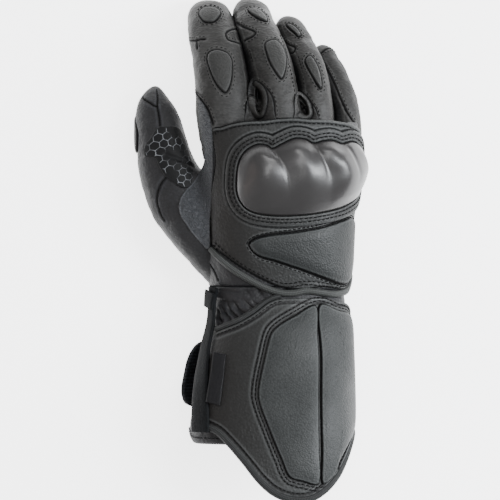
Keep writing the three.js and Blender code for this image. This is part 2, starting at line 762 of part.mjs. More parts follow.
// The strap down the thumb side, which covers the edge of the gauntlet, and the loop that keeps it at the wrist.
const STRAP_LINE = [[-22.5, -24], [-23.5, -34], [-24.5, -48], [-28, -64], [-31, -84], [-32, -102], [-32, -119]];
const STRAP = { width: 6.6, swell: 2.2, thickness: 1.8 };
function makeSideStrap() {
  const path = pathOn(trunk, STRAP_LINE, 16);
  const profile = (t) => beadProfile(STRAP.width + STRAP.swell * Math.sin(Math.PI * t), PLATE_BASE, STRAP.thickness);
  return band({ skin: trunk, path, profile });
}

const KEEPER_LINE = [[-23, -27.5], [-23.6, -32.5], [-24, -38]];
function makeStrapKeeper() {
  const base = PLATE_BASE + STRAP.thickness + 3 * GAP;
  return band({ skin: trunk, path: pathOn(trunk, KEEPER_LINE, 4), profile: beadProfile(8.6, base, 1.4) });
}

const LABEL = [[-20.2, -66.5], [-15.8, -67.5], [-18.3, -98.5], [-23, -97.5]];
function makeLabel() {
  const corners = LABEL.map(([x, y]) => trunk.find(x, y));
  const size = 4;
  const rings = [];
  for (let k = 0; k <= size; k++) {
    const mix = (i, j) => [
      THREE.MathUtils.lerp(corners[i][0], corners[j][0], k / size),
      THREE.MathUtils.lerp(corners[i][1], corners[j][1], k / size),
    ];
    const [l, r] = [mix(0, 3), mix(1, 2)];
    rings.push([
      trunk.place(...l, PLATE_BASE + 0.9),
      trunk.place(...r, PLATE_BASE + 0.9),
      trunk.place(...r, PLATE_BASE - FOOT),
      trunk.place(...l, PLATE_BASE - FOOT),
    ]);
  }
  return seated(ringedSolid(rings), PLATE_BASE);
}

// The closure strap passes under the cuff, and its rounded end stands off at the thumb side.
const CLOSURE = { y: -81, length: 46, reach: 9, thickness: 2, from: 292, to: 186 };
function makeClosureStrap() {
  const rings = [];
  const stations = 12;
  for (let k = 0; k <= stations; k++) {
    const t = k / stations;
    const angle = THREE.MathUtils.degToRad(THREE.MathUtils.lerp(CLOSURE.from, CLOSURE.to, t));
    const end = Math.max(0, (t - 0.62) / 0.38);
    const half = (CLOSURE.length / 2) * Math.sqrt(Math.max(0.12, 1 - end ** 3));
    const away = GAP + CLOSURE.reach * end ** 2 * (1.35 - 0.6 * end);
    const at = (side, lift) => trunk.atAngle(angle, CLOSURE.y + side * half, lift);
    const top = away + CLOSURE.thickness;
    rings.push([at(-1, away), at(0, away), at(1, away), at(1, top), at(0, top), at(-1, top)]);
  }
  return seated(ringedSolid(rings), GAP);
}

// Foam pads on the digits, as outlines seen from above.
const FINGER_PADS = {
  index_tip_pad: {
    on: "index",
    outline: [[-33.5, 157], [-30, 159], [-25, 159.2], [-21.5, 157], [-21, 154.5], [-24, 151.5], [-27, 150.5], [-31, 152.5]],
  },
  index_knuckle_pad: {
    on: "index",
    outline: [
      [-28, 126.5], [-25, 130], [-20.5, 131], [-16, 129.5], [-13.2, 125], [-12.8, 117], [-14, 108.5], [-17, 104],
      [-21, 108], [-25, 116],
    ],
  },
  middle_tip_pad: {
    on: "middle",
    outline: [[-1, 157.5], [3, 159], [7, 156.5], [9.8, 152.5], [9, 150], [6, 151.2], [2, 154]],
  },
  middle_knuckle_pad: {
    on: "middle",
    outline: [
      [9.3, 132], [12, 135.5], [15.5, 135], [19, 131], [21.3, 125], [21.8, 119], [19.5, 113], [16.5, 115.5],
      [12.5, 122], [10, 128],
    ],
  },
  ring_tip_pad: {
    on: "ring",
    outline: [[24, 148.5], [28, 147], [31, 143.5], [32.2, 141], [30.8, 140.2], [28, 142.5], [25, 146]],
  },
  ring_knuckle_pad: {
    on: "ring",
    outline: [[35, 123.5], [37, 126], [40.5, 124.5], [43.5, 119.5], [45.4, 113], [45.8, 107], [43.5, 107], [40, 112], [37, 118]],
  },
};
function makeFingerPad(name) {
  const { on, outline: points } = FINGER_PADS[name];
  const skin = skins[on];
  const corners = 12;
  const outline = outlineOn(skin, points, corners);
  const middle = outline.reduce((sum, [a, b]) => [sum[0] + a / corners, sum[1] + b / corners], [0, 0]);
  const reach = Math.max(...outline.map((p) => p[1])) - Math.min(...outline.map((p) => p[1]));
  const spine = [-0.18, 0.18].map((part) => [middle[0], middle[1] + reach * part]);
  return seatedOnDigit(on, blanket({ skin, outline, spine, rings: 2, base: GAP - FOOT, top: PAD_TOP }));
}
const PAD_TOP = crowned(GAP, 0.6, PAD_RISE - 1);

function seatedOnDigit(name, geometry) {
  return toGeometry(mainBody(toSolid(geometry).subtract(digitBar(name, GAP))));
}

// The thumb's knuckle pad faces away from the fingers, so it is placed around the thumb and not from above.
const THUMB_PAD = { across: -19, back: 33, width: 13, length: 22 };
function makeThumbPad() {
  const outline = [];
  for (let i = 0; i < 12; i++) {
    const angle = (2 * Math.PI * i) / 12;
    outline.push([
      THUMB_PAD.across + (THUMB_PAD.width / 2) * Math.cos(angle),
      THUMB_PAD.back + (THUMB_PAD.length / 2) * Math.sin(angle),
    ]);
  }
  const spine = [-3, 3].map((d) => [THUMB_PAD.across, THUMB_PAD.back + d]);
  return seatedOnDigit(
    "thumb",
    blanket({ skin: skins.thumb, outline, spine, rings: 2, base: GAP - FOOT, top: PAD_TOP }),
  );
}

// The printed grip patch on the inside of the thumb.
const GRIP = [
  [-69, 64.5], [-67, 70], [-62, 77], [-55, 80], [-50, 78.5], [-46.5, 71], [-42.5, 62], [-39.5, 55.5], [-40.5, 49],
  [-45, 43.5], [-50, 44.5], [-56, 50], [-60, 56.5], [-64, 61.5],
];
const GRIP_THICKNESS = 0.8;
function makeThumbGrip() {
  const skin = skins.thumb;
  const outline = outlineOn(skin, GRIP, 22);
  const spine = [skin.find(-56, 66), skin.find(-48, 54)];
  const cutter = blanket({ skin, outline, spine, rings: 3, base: GAP - FOOT, top: () => GAP + 3 });
  const sheet = toSolid(cutter).intersect(digitBar("thumb", GAP + GRIP_THICKNESS));
  return toGeometry(mainBody(sheet.subtract(digitBar("thumb", GAP))));
}

const FINISHES = {
  leather: { color: 0x3b3d3e, roughness: 0.6, metalness: 0 },
  dark_leather: { color: 0x262728, roughness: 0.7, metalness: 0 },
  guard_plastic: { color: 0x2e3030, roughness: 0.25, metalness: 0 },
  pad_leather: { color: 0x4a4d4e, roughness: 0.55, metalness: 0 },
  piping: { color: 0x6a6a6e, roughness: 0.6, metalness: 0 },
  grip_print: { color: 0x141516, roughness: 0.5, metalness: 0 },
  webbing: { color: 0x2b2d31, roughness: 0.8, metalness: 0 },
};

const PIECES = {
  hand_body: ["dark_leather", makeHandBody],
  finger_web: ["dark_leather", makeFingerWeb],
  finger_index: ["leather", () => makeFinger("index")],
  finger_middle: ["leather", () => makeFinger("middle", "index")],
  finger_ring: ["leather", () => makeFinger("ring", "middle")],
  finger_little: ["leather", () => makeFinger("little", "ring")],
  thumb: ["dark_leather", makeThumb],
  wrist_gather: ["dark_leather", makeWristGather],
  cuff_inner: ["dark_leather", makeCuffInner],
  cuff_gauntlet: ["leather", makeGauntlet],
  back_panel: ["leather", makeBackPanel],
  guard_surround: ["leather", makeGuardSurround],
  knuckle_guard: ["guard_plastic", makeKnuckleGuard],
  metacarpal_pad: ["pad_leather", makeMetacarpalPad],
  cuff_plate_inner: ["pad_leather", () => makePlate(PLATE_LEFT, [[28, -60], [31, -132]])],
  cuff_plate_outer: ["pad_leather", () => makePlate(PLATE_RIGHT, [[57, -58], [56, -125]])],
  wrist_piping: ["piping", makeWristPiping],
  cuff_top_piping: ["piping", makeCuffTopPiping],
  cuff_hem_binding: ["piping", makeHemBinding],
  side_strap: ["webbing", makeSideStrap],
  strap_keeper: ["leather", makeStrapKeeper],
  side_label: ["webbing", makeLabel],
  closure_strap: ["webbing", makeClosureStrap],
  ...Object.fromEntries(Object.keys(FINGER_PADS).map((name) => [name, ["pad_leather", () => makeFingerPad(name)]])),
  thumb_knuckle_pad: ["pad_leather", makeThumbPad],
  thumb_grip_patch: ["grip_print", makeThumbGrip],
};

const glove = new THREE.Group();
for (const [name, [finish, make]] of Object.entries(PIECES)) {
  const mesh = new THREE.Mesh(make(), new THREE.MeshStandardMaterial(FINISHES[finish]));
  mesh.name = name;
  glove.add(mesh);
}

export default glove;
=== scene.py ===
"""The looks of a winter motorcycle glove for the right hand, lying palm down on a pale floor.

Sizes are in millimetres until a mesh is made. +Z is up, +Y points to the fingertips, +X to the little finger.
"""

import bmesh
import bpy
import numpy as np
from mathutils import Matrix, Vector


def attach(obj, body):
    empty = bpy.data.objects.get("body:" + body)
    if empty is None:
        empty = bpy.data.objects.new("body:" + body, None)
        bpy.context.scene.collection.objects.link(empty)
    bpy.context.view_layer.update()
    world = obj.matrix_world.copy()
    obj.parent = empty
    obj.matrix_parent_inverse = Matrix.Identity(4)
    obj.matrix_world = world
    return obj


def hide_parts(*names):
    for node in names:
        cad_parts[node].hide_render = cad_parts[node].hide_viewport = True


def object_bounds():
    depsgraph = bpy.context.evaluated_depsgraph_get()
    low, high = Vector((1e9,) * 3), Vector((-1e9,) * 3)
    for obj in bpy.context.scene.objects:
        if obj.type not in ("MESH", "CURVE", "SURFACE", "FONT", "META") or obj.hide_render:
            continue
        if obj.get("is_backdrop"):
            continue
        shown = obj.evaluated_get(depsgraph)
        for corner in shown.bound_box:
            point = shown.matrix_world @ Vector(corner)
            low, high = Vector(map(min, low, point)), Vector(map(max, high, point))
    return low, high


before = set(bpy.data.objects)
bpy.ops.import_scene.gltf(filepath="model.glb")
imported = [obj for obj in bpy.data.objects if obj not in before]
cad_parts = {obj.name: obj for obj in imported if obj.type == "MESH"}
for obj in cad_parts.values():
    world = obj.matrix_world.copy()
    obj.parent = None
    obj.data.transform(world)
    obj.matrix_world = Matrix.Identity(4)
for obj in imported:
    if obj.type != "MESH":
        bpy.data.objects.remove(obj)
CAD_BOX = [list(corner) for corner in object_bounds()]
METRE = 0.001
MM = 1000  # the scale of a texture whose cells are one millimetre wide
WAVE = 0.3142  # the wave texture's own factor for one band in each unit

# Camera, light and floor.

PIXEL = 0.66  # millimetres of the glove for one pixel of the picture
CAMERA_HEIGHT = 2500.0
MIDDLE_HEIGHT = 28.0  # the scale is true at this height over the floor


def srgb(code):
    """A hex colour as linear red, green, blue and alpha."""
    value = np.array([int(code[i : i + 2], 16) for i in (1, 3, 5)]) / 255
    linear = np.where(value <= 0.04045, value / 12.92, ((value + 0.055) / 1.055) ** 2.4)
    return (*linear.tolist(), 1.0)


def add(tree, kind, output, values=None, links=None, **settings):
    """Adds a shader node with its settings, input values and links, and returns one of its outputs."""
    made = tree.nodes.new("ShaderNode" + kind)
    for key, value in settings.items():
        setattr(made, key, value)
    for socket, value in (values or {}).items():
        made.inputs[socket].default_value = value
    for socket, source in (links or {}).items():
        tree.links.new(source, made.inputs[socket])
    return made.outputs[output]


def look_down():
    """A long lens far above the glove, so that the picture is almost without perspective."""
    camera = bpy.data.objects.new("camera", bpy.data.cameras.new("camera"))
    bpy.context.scene.collection.objects.link(camera)
    camera.location = (-PIXEL * METRE, 0, CAMERA_HEIGHT * METRE)
    camera.data.sensor_width = 36
    camera.data.lens = 36 * (CAMERA_HEIGHT - MIDDLE_HEIGHT) / (500 * PIXEL)
    camera.data.clip_end = 20
    bpy.context.scene.camera = camera


def soft_light(name, place, size, power, tint="#ffffff"):
    """A lamp of two sides' lengths that faces the middle of the glove."""
    data = bpy.data.lights.new(name, "AREA")
    data.shape = "RECTANGLE"
    data.size, data.size_y = size
    data.energy = power
    data.color = srgb(tint)[:3]
    lamp = bpy.data.objects.new(name, data)
    bpy.context.scene.collection.objects.link(lamp)
    lamp.location = place
    lamp.rotation_mode = "QUATERNION"
    lamp.rotation_quaternion = lamp.location.to_track_quat("Z", "Y")


def studio():
    """A pale floor, a pale room, and soft lamps of which the right-hand one is the brightest."""
    mesh = bpy.data.meshes.new("floor")
    mesh.from_pydata([(-3, -3, -0.0005), (3, -3, -0.0005), (3, 3, -0.0005), (-3, 3, -0.0005)], [],
        [(0, 1, 2, 3)])
    floor = bpy.data.objects.new("floor", mesh)
    bpy.context.scene.collection.objects.link(floor)
    paper = bpy.data.materials.new("matt white paper")
    paper.use_nodes = True
    shader = paper.node_tree.nodes["Principled BSDF"]
    coords = add(paper.node_tree, "TexCoord", "Object")
    fleck = add(paper.node_tree, "TexNoise", "Fac", {"Scale": 3.0}, {"Vector": coords})
    shade = add(paper.node_tree, "Mix", "Result", {"A": srgb("#f6f6f6"), "B": srgb("#fbfbfb")},
        {"Factor": fleck}, data_type="RGBA")
    paper.node_tree.links.new(shade, shader.inputs["Base Color"])
    shader.inputs["Roughness"].default_value = 0.95
    shader.inputs["Emission Color"].default_value = srgb("#ffffff")
    shader.inputs["Emission Strength"].default_value = 3.2
    mesh.materials.append(paper)
    floor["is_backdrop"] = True
    world = bpy.data.worlds.new("pale room")
    world.use_nodes = True
    world.node_tree.nodes["Background"].inputs["Color"].default_value = srgb("#f4f6f8")
    world.node_tree.nodes["Background"].inputs["Strength"].default_value = 0.58
    bpy.context.scene.world = world
    soft_light("right_softbox", (1.25, 0.1, 1.05), (0.5, 1.0), 46, "#f7fbff")
    soft_light("near_strip", (0.2, 0.2, 1.7), (0.16, 1.3), 12)
    soft_light("top_softbox", (0.5, 1.1, 1.4), (0.9, 0.5), 12)
    soft_light("left_fill", (-1.3, -0.4, 0.9), (0.8, 0.8), 2.5, "#ffe4d8")


look_down()
studio()

# The glove's form, as in the CAD source.

WALL = 2.4
WRIST_Y = -24.0
CUFF_Y = -50.0
HEM_Y = -127.0
KNUCKLE_Y = 84.0
LAYER_1 = (0.3, 1.7)  # lowest and highest lift of a sewn-on panel
LAYER_2 = 1.75  # lift at which the guard, its surround and the pad sit on the back panel
GAUNTLET_LIFT = (0.3, 2.3)
PLATE_LIFT = 2.35

# y, left edge x z, crest x z, right edge x z, belly x z, height of the floor under the inside
TRUNK = [(-172, -43, 30, 27, 67, 66, 31, 15, -4, 2.3), (-145, -42.5, 30, 27, 66.5, 66, 31, 15, -4, 2.3),
    (-118, -41, 29, 26, 65, 65.5, 30, 15, -4, 2.3), (-95, -38, 28, 25, 63, 64.8, 29, 15, -4, 2.3),
    (-70, -33, 26, 23, 60, 64.2, 27, 15, -3, 2.3), (-52, -28.5, 24, 20, 55, 64, 25, 15, -3, 2.3),
    (-38, -26.5, 22, 18, 49.5, 63.2, 22, 15, -3, 0), (-30, -27, 21, 17, 47.5, 62, 21, 15, -3, 0),
    (-20, -29, 21, 16, 49, 64, 20, 15, -3, 0), (-8, -30.5, 22, 15, 51, 64.6, 20, 14, -3, 0),
    (10, -30, 25, 13, 54, 65.2, 20, 14, -3, 0), (30, -29, 29, 12, 57, 68.2, 21, 15, 0, 0),
    (50, -31, 34, 11, 59, 70.6, 23, 16, 5, 0), (66, -31.5, 39, 9, 60, 71.4, 24, 18, 9, 0),
    (84, -35, 43, 8, 60, 71.2, 24, 20, 12, 0), (92, -36, 44, 8, 58, 70.5, 24, 20, 14, 0)]
TOP_POWER, BELLY_POWER, DIGIT_POWER = 2.3, 2.5, 2.25
NOSE_POWER = 2.2  # how roundly a fingertip closes
GIRTH_STEP = 0.5
CELLS = 2  # grid cells in each millimetre of a spanned leather
ROW_PITCH = 0.8660254  # the distance between rows of hexagons, for cells 1 apart

# tilt, nose, then rows of x, y, z, half width, half height from the root to the fingertip
DIGITS = {"index": (0, 13, [(-16, 62, 40, 15.5, 13.5), (-19, 86, 43.5, 16.8, 14.5),
    (-19.3, 104, 43.5, 17.4, 14.5), (-22, 125, 36.5, 16.6, 13), (-26, 144, 23.5, 15.6, 12),
    (-28, 156, 10.5, 14.2, 11), (-28, 161.5, 1.5, 12, 9)]), "middle": (18, 12,
    [(20, 62, 42, 13, 13), (18.7, 86, 45, 13.4, 14), (16.3, 105, 44.3, 13.9, 13.8),
    (11.5, 126, 37, 13.8, 12.8), (4, 145, 24, 13.2, 11.6), (0, 157, 10.8, 12.6, 10.6),
    (-1.5, 162, 2, 10.5, 9)]), "ring": (34, 11, [(45, 62, 34, 9.8, 12), (43.2, 86, 36, 10.4, 12.4),
    (41.3, 102, 35.4, 10.9, 12), (37.7, 119, 29.4, 11, 11.2), (31, 135, 19, 10.8, 10.4),
    (25.5, 146, 10.3, 10.2, 9.6), (22, 152.4, 3.2, 9, 8.4)]), "little": (55, 10,
    [(64, 62, 23, 8.6, 10.2), (62.6, 86, 23.6, 8.7, 10.2), (60.4, 99, 21.8, 8.8, 9.8),
    (56, 112, 17, 8.8, 9.4), (50.6, 123, 11.4, 8.6, 9), (47, 130, 7.2, 8, 8.4),
    (44.6, 134.2, 3.4, 7.2, 7.4)]), "thumb": (-18, 22, [(-16, -14, 19, 14, 16), (-33, 10, 22, 18, 18),
    (-46, 30, 22, 20.5, 17), (-54.5, 50, 20, 19.4, 15), (-59, 68, 17.5, 17.4, 13.6),
    (-61.4, 82, 14.5, 15.6, 12.2), (-64, 96, 11.5, 12.8, 10.6), (-63.6, 109, 8.5, 9, 8.6)])}


def read_table(rows, at):
    """A cubic between each two rows. Its slope at a row is that between the row's two neighbours."""
    rows = np.asarray(rows, float)
    at = np.asarray(at, float)
    key = rows[:, 0]
    order = np.arange(len(key))
    before, after = np.maximum(order - 1, 0), np.minimum(order + 1, len(key) - 1)
    slope = (rows[after] - rows[before]) / (key[after] - key[before])[:, None]
    i = np.clip(np.searchsorted(key, at, side="right") - 1, 0, len(key) - 2)
    span = (key[i + 1] - key[i])[..., None]
    t = np.clip((at - key[i])[..., None] / span, 0, 1)
    rise = rows[i + 1] - rows[i]
    m0, m1 = slope[i] * span, slope[i + 1] * span
    return (rows[i] + t * (m0 + t * (3 * rise - 2 * m0 - m1 + t * (m0 + m1 - 2 * rise))))[..., 1:]


def signed_power(value, power):
    """The power of the value's size, with the value's own sign."""
    return np.sign(value) * np.abs(value) ** power


def fade(value, low, high):
    """0 below low, 1 above high, and a smooth step between them."""
    t = np.clip((value - low) / (high - low), 0, 1)
    return t * t * (3 - 2 * t)


def bell(value, width):
    """A bell curve: e to the power of minus the square of the value's share of the width."""
    return np.exp(-((value / width) ** 2))


class Trunk:
    """The tube of hand, wrist and cuff. A place on it is its girth from the crest, + to the right, and y.

    Each section is four quarter superellipses between its left edge, crest, right edge and belly.
    """

    def __init__(self):
        self.ys = np.arange(-176.0, 93.0, 1.0)
        self.turns = np.linspace(-np.pi, np.pi, 1441)
        x, z, _ = self.section(self.turns, self.ys[:, None])
        steps = np.hypot(np.diff(x, axis=1), np.diff(z, axis=1))
        lengths = np.pad(np.cumsum(steps, axis=1), ((0, 0), (1, 0)))
        self.girths = lengths - lengths[:, 720:721]
        self.even = np.arange(-200.0, 200.1, GIRTH_STEP)
        self.turn_table = np.array([np.interp(self.even, row, self.turns) for row in self.girths])

    def section(self, turn, y):
        """The point of the section at y, where turn is 0 at the crest and grows to the right."""
        row = np.moveaxis(read_table(TRUNK, y), -1, 0)
        left_x, left_z, crest_x, crest_z, right_x, right_z, belly_x, belly_z, floor = row
        c, s = np.sin(turn), np.cos(turn)
        edge_x, edge_z = np.where(c >= 0, right_x, left_x), np.where(c >= 0, right_z, left_z)
        mid_x, reach_z = np.where(s >= 0, crest_x, belly_x), np.where(s >= 0, crest_z, belly_z)
        power = np.where(s >= 0, 2 / TOP_POWER, 2 / BELLY_POWER)
        x = mid_x + (edge_x - mid_x) * np.abs(c) ** power
        z = edge_z + (reach_z - edge_z) * np.abs(s) ** power
        return x, z, np.maximum(0, floor)

    def by_turn(self, turn, y, lift):
        """The section's point moved outwards by the lift, and kept off the floor."""
        x, z, floor = self.section(turn, y)
        x0, z0, _ = self.section(turn - 0.02, y)
        x1, z1, _ = self.section(turn + 0.02, y)
        along_x, along_z = x1 - x0, z1 - z0
        size = np.hypot(along_x, along_z) + 1e-9
        px = x - along_z / size * lift
        pz = np.maximum(z + along_x / size * lift, floor - lift)
        return np.stack(np.broadcast_arrays(px, y, pz), -1)

    def span(self, y):
        """The girth at the belly, reached leftwards and rightwards."""
        return (np.interp(y, self.ys, self.girths[:, 0]), np.interp(y, self.ys, self.girths[:, -1]))

    def place(self, girth, y, lift):
        """The point at that girth and y, whose turn is read between the four nearest entries of a table."""
        girth, y = np.broadcast_arrays(np.asarray(girth, float), np.asarray(y, float))
        i = np.clip(y - self.ys[0], 0, len(self.ys) - 1.001)
        j = np.clip((girth - self.even[0]) / GIRTH_STEP, 0, len(self.even) - 1.001)
        i0, j0 = i.astype(int), j.astype(int)
        fi, fj = i - i0, j - j0
        table = self.turn_table
        low = table[i0, j0] * (1 - fj) + table[i0, j0 + 1] * fj
        high = table[i0 + 1, j0] * (1 - fj) + table[i0 + 1, j0 + 1] * fj
        return self.by_turn(low * (1 - fi) + high * fi, y, lift)

    def seen(self, points, lift):
        """Places that are seen from above at x, y when they are lifted off the tube."""
        girths = np.linspace(-75, 75, 601)
        found = []
        for x, y in points:
            across = self.place(girths, y, lift)[:, 0]
            upper = slice(across.argmin(), across.argmax() + 1)
            found.append((np.interp(x, across[upper], girths[upper]), y))
        return np.array(found)

    def find(self, points):
        """Places that are seen from above at x, y. A third number goes on around the right side."""
        found = []
        upper = slice(360, 1081)
        for x, y, *past in points:
            across, _, _ = self.section(self.turns[upper], np.float64(y))
            turn = np.interp(x, across, self.turns[upper])
            row = int(round(np.clip(y - self.ys[0], 0, len(self.ys) - 1)))
            found.append((np.interp(turn, self.turns, self.girths[row]) + sum(past), y))
        return np.array(found)


class Digit:
    """A finger or the thumb. A place on it is the way around from its top line, and back from its tip.

    Its sections are superellipses square to a smooth centre line, and shrink to a point at the rounded tip.
    """

    def __init__(self, tilt, nose, rows, sides=(0, 0)):
        self.nose = nose
        self.sides = sides
        keyed = [(i, *row) for i, row in enumerate(rows)]
        fine = read_table(keyed, np.linspace(len(rows) - 1, 0, 241))
        centre, sizes = fine[:, :3], fine[:, 3:]
        steps = np.linalg.norm(np.diff(centre, axis=0), axis=1)
        self.backs = np.concatenate([[0], np.cumsum(steps)])
        self.length = self.backs[-1]
        forward = -np.gradient(centre, axis=0)
        forward /= np.linalg.norm(forward, axis=1, keepdims=True)
        lean = np.radians(tilt)
        up = np.array([np.sin(lean), 0, np.cos(lean)])
        top = up - forward * (forward @ up)[:, None]
        top /= np.linalg.norm(top, axis=1, keepdims=True)
        self.line = np.hstack([centre, np.cross(forward, top), top, sizes])
        across, back = np.meshgrid(np.arange(-42, 42.1, 0.25), np.arange(0.5, self.length, 0.25))
        self.sample = np.stack([across, back], -1).reshape(-1, 2)
        seen = self.place(across, back, 0.0).reshape(-1, 3)
        under = np.interp(self.sample[:, 1], self.backs, centre[:, 2]) - seen[:, 2]
        self.seen = np.column_stack([seen[:, :2], np.maximum(0, under)])

    def at(self, back):
        """The centre, the directions right and up, and the half sizes, at a distance from the tip."""
        columns = [np.interp(back, self.backs, column) for column in self.line.T]
        centre, right, top = (np.stack(columns[i : i + 3], -1) for i in (0, 3, 6))
        return centre, right, top, columns[9], columns[10]

    def place(self, across, back, lift):
        """The centre plus the section's two parts, each longer by the lift, and kept off the floor."""
        across, back, lift = np.broadcast_arrays(across, back, lift)
        back = np.asarray(back, float)
        _, _, _, full_width, full_height = self.at(np.maximum(back, self.nose))
        angle = 2 * across / (full_width + full_height)
        centre, right, top, width, height = self.at(back)
        round_off = np.sqrt(1 - np.clip(1 - back / self.nose, 0, 1) ** NOSE_POWER)
        s = signed_power(np.sin(angle), 2 / DIGIT_POWER) * (width * round_off + lift)
        c = signed_power(np.cos(angle), 2 / DIGIT_POWER) * (height * round_off + lift)
        made = centre + right * s[..., None] + top * c[..., None]
        made[..., 2] = np.maximum(made[..., 2], -lift)
        return made

    def find(self, points):
        """Places that are seen from above at x, y: the nearest of many samples on the upper side."""
        found = []
        for x, y, *_ in points:
            miss = np.hypot(self.seen[:, 0] - x, self.seen[:, 1] - y) + self.seen[:, 2]
            found.append(self.sample[miss.argmin()])
        return np.array(found)

    def fullness(self, angle, back):
        """How far the side walls stand out below the middle, to the left and right, where fingers touch."""
        left, right = self.sides
        reach = fade(back, 9, 26)
        turned = (angle + np.pi) % (2 * np.pi) - np.pi
        return reach * (left * bell(turned + 2.0, 0.6) + right * bell(turned - 2.0, 0.6))

    def press(self, points, gap):
        """Points inside the digit go straight out from its centre line to its surface plus a gap."""
        shape = points.shape
        points = points.reshape(-1, 3)
        nearest = np.empty(len(points), int)
        for some in np.array_split(np.arange(len(points)), 12):
            nearest[some] = (np.square(points[some, None] - self.line[None, ::3, :3]).sum(-1)).argmin(1) * 3
        here = self.line[nearest]
        run = points - here[:, :3]
        s, c = (run * here[:, 3:6]).sum(1), (run * here[:, 6:9]).sum(1)
        near_tip = np.sqrt(1 - np.clip(1 - self.backs[nearest] / self.nose, 0, 1) ** NOSE_POWER)
        full = self.fullness(np.arctan2(s / here[:, 9], c / here[:, 10]), self.backs[nearest])
        width, height = here[:, 9] * near_tip + gap + full, here[:, 10] * near_tip + gap + full
        reach = (np.abs(s / width) ** DIGIT_POWER + np.abs(c / height) ** DIGIT_POWER) ** (1 / DIGIT_POWER)
        grow = np.where((reach < 1) & (nearest > 0), 1 / np.maximum(reach, 0.2) - 1, 0)
        pressed = points + here[:, 3:6] * (s * grow)[:, None] + here[:, 6:9] * (c * grow)[:, None]
        return pressed.reshape(shape)


trunk = Trunk()
SIDE_WALLS = {"index": (0, 3.4), "middle": (3.0, 1.0), "ring": (1.5, 1.5), "little": (1.5, 0),
    "thumb": (0, 0)}
digits = {name: Digit(*shape, SIDE_WALLS[name]) for name, shape in DIGITS.items()}

# Lines, relief and meshes.


def evenly(line, count):
    """The same line with its points at equal distances."""
    length = np.concatenate([[0], np.cumsum(np.linalg.norm(np.diff(line, axis=0), axis=1))])
    at = np.linspace(0, length[-1], count)
    return np.column_stack([np.interp(at, length, column) for column in line.T])


def smooth_line(points, closed=False, count=240):
    """A cubic through the points, with the square root of the distance between them as its parameter."""
    points = np.asarray(points, float)
    ring = np.vstack([points[-3:], points, points[:4]]) if closed else points
    chords = np.linalg.norm(np.diff(ring, axis=0), axis=1)
    key = np.concatenate([[0], np.cumsum(np.sqrt(np.maximum(chords, 1e-6)))])
    low, high = (key[3], key[3 + len(points)]) if closed else (key[0], key[-1])
    fine = read_table(np.column_stack([key, ring]), np.linspace(low, high, 24 * len(points)))
    return evenly(fine, count)


def from_line(a, b, line, reach=9.0):
    """How far places are from a line, and how far along it the nearest point is. Far ones get 99."""
    a, b = np.broadcast_arrays(a, b)
    distance, along = np.full(a.shape, 99.0), np.zeros(a.shape)
    low, high = line.min(0) - reach, line.max(0) + reach
    near = (a > low[0]) & (a < high[0]) & (b > low[1]) & (b < high[1])
    places = np.stack([a[near], b[near]], -1)
    start, run = line[:-1], np.diff(line, axis=0)
    square = np.square(run).sum(1) + 1e-9
    lengths = np.concatenate([[0], np.cumsum(np.sqrt(square))])
    best, where = np.full(len(places), 99.0), np.zeros(len(places))
    for some in np.array_split(np.arange(len(places)), len(places) * len(run) // 3_000_000 + 1):
        if len(some) == 0:
            continue
        gap = places[some, None] - start
        t = np.clip((gap * run).sum(-1) / square, 0, 1)
        miss = np.linalg.norm(gap - t[..., None] * run, axis=-1)
        k = miss.argmin(1)
        rows = np.arange(len(some))
        best[some] = miss[rows, k]
        where[some] = lengths[k] + t[rows, k] * np.sqrt(square[k])
    distance[near], along[near] = best, where
    return distance, along


def inside(a, b, loop):
    """True where a place is inside a closed line: a ray from it crosses the line an odd number of times."""
    a, b = np.broadcast_arrays(a, b)
    odd = np.zeros(a.shape, bool)
    low, high = loop.min(0), loop.max(0)
    near = (a > low[0]) & (a < high[0]) & (b > low[1]) & (b < high[1])
    pa, pb = a[near], b[near]
    hit = np.zeros(len(pa), bool)
    for (a0, b0), (a1, b1) in zip(loop, np.roll(loop, -1, axis=0)):
        crosses = (b0 > pb) != (b1 > pb)
        slope = (a1 - a0) / (b1 - b0) if b1 != b0 else 0.0
        hit ^= crosses & (pa < a0 + slope * (pb - b0))
    odd[near] = hit
    return odd


LATTICE = np.random.default_rng(7).random((64, 64))


def noise(a, b, size, shift=0.0):
    """Smooth random values from -1 to 1: a fixed lattice, eased between knots that are "size" apart."""
    u, v = np.asarray(a, float) / size + shift, np.asarray(b, float) / size + 1.7 * shift
    i, j = np.floor(u).astype(int), np.floor(v).astype(int)
    fu, fv = fade(u - i, 0, 1), fade(v - j, 0, 1)
    corner = lambda di, dj: LATTICE[(i + di) % 64, (j + dj) % 64]
    low = corner(0, 0) * (1 - fu) + corner(1, 0) * fu
    high = corner(0, 1) * (1 - fu) + corner(1, 1) * fu
    return 2 * (low * (1 - fv) + high * fv) - 1


def seam(a, b, line, depth=0.6, width=0.55, lip=0.16, pucker=0.06):
    """A sewn seam: a narrow groove between two raised lips, which pucker a little at each stitch.

    Returns the change of lift, and the leather's painted tone: below 0 in the groove, which is painted shade,
    and above 0 on the lips, which are paler with wear.
    """
    distance, along = from_line(a, b, line)
    groove = bell(distance, width)
    lips = bell(distance - 1.5, 0.8)
    wave = 1 + pucker / max(lip, 1e-6) * np.cos(2 * np.pi * along / 3.0) if lip else 1.0
    return lip * lips * wave - depth * groove, 0.45 * lips - 1.5 * groove


def relief(a, b, seams):
    """The sum of several seams, each a line with its own depth, width, lip and pucker."""
    lift, rub = np.zeros(np.broadcast(a, b).shape), np.zeros(np.broadcast(a, b).shape)
    for line, options in seams:
        more, shine = seam(a, b, line, **options)
        lift += more
        rub += shine
    return lift, rub


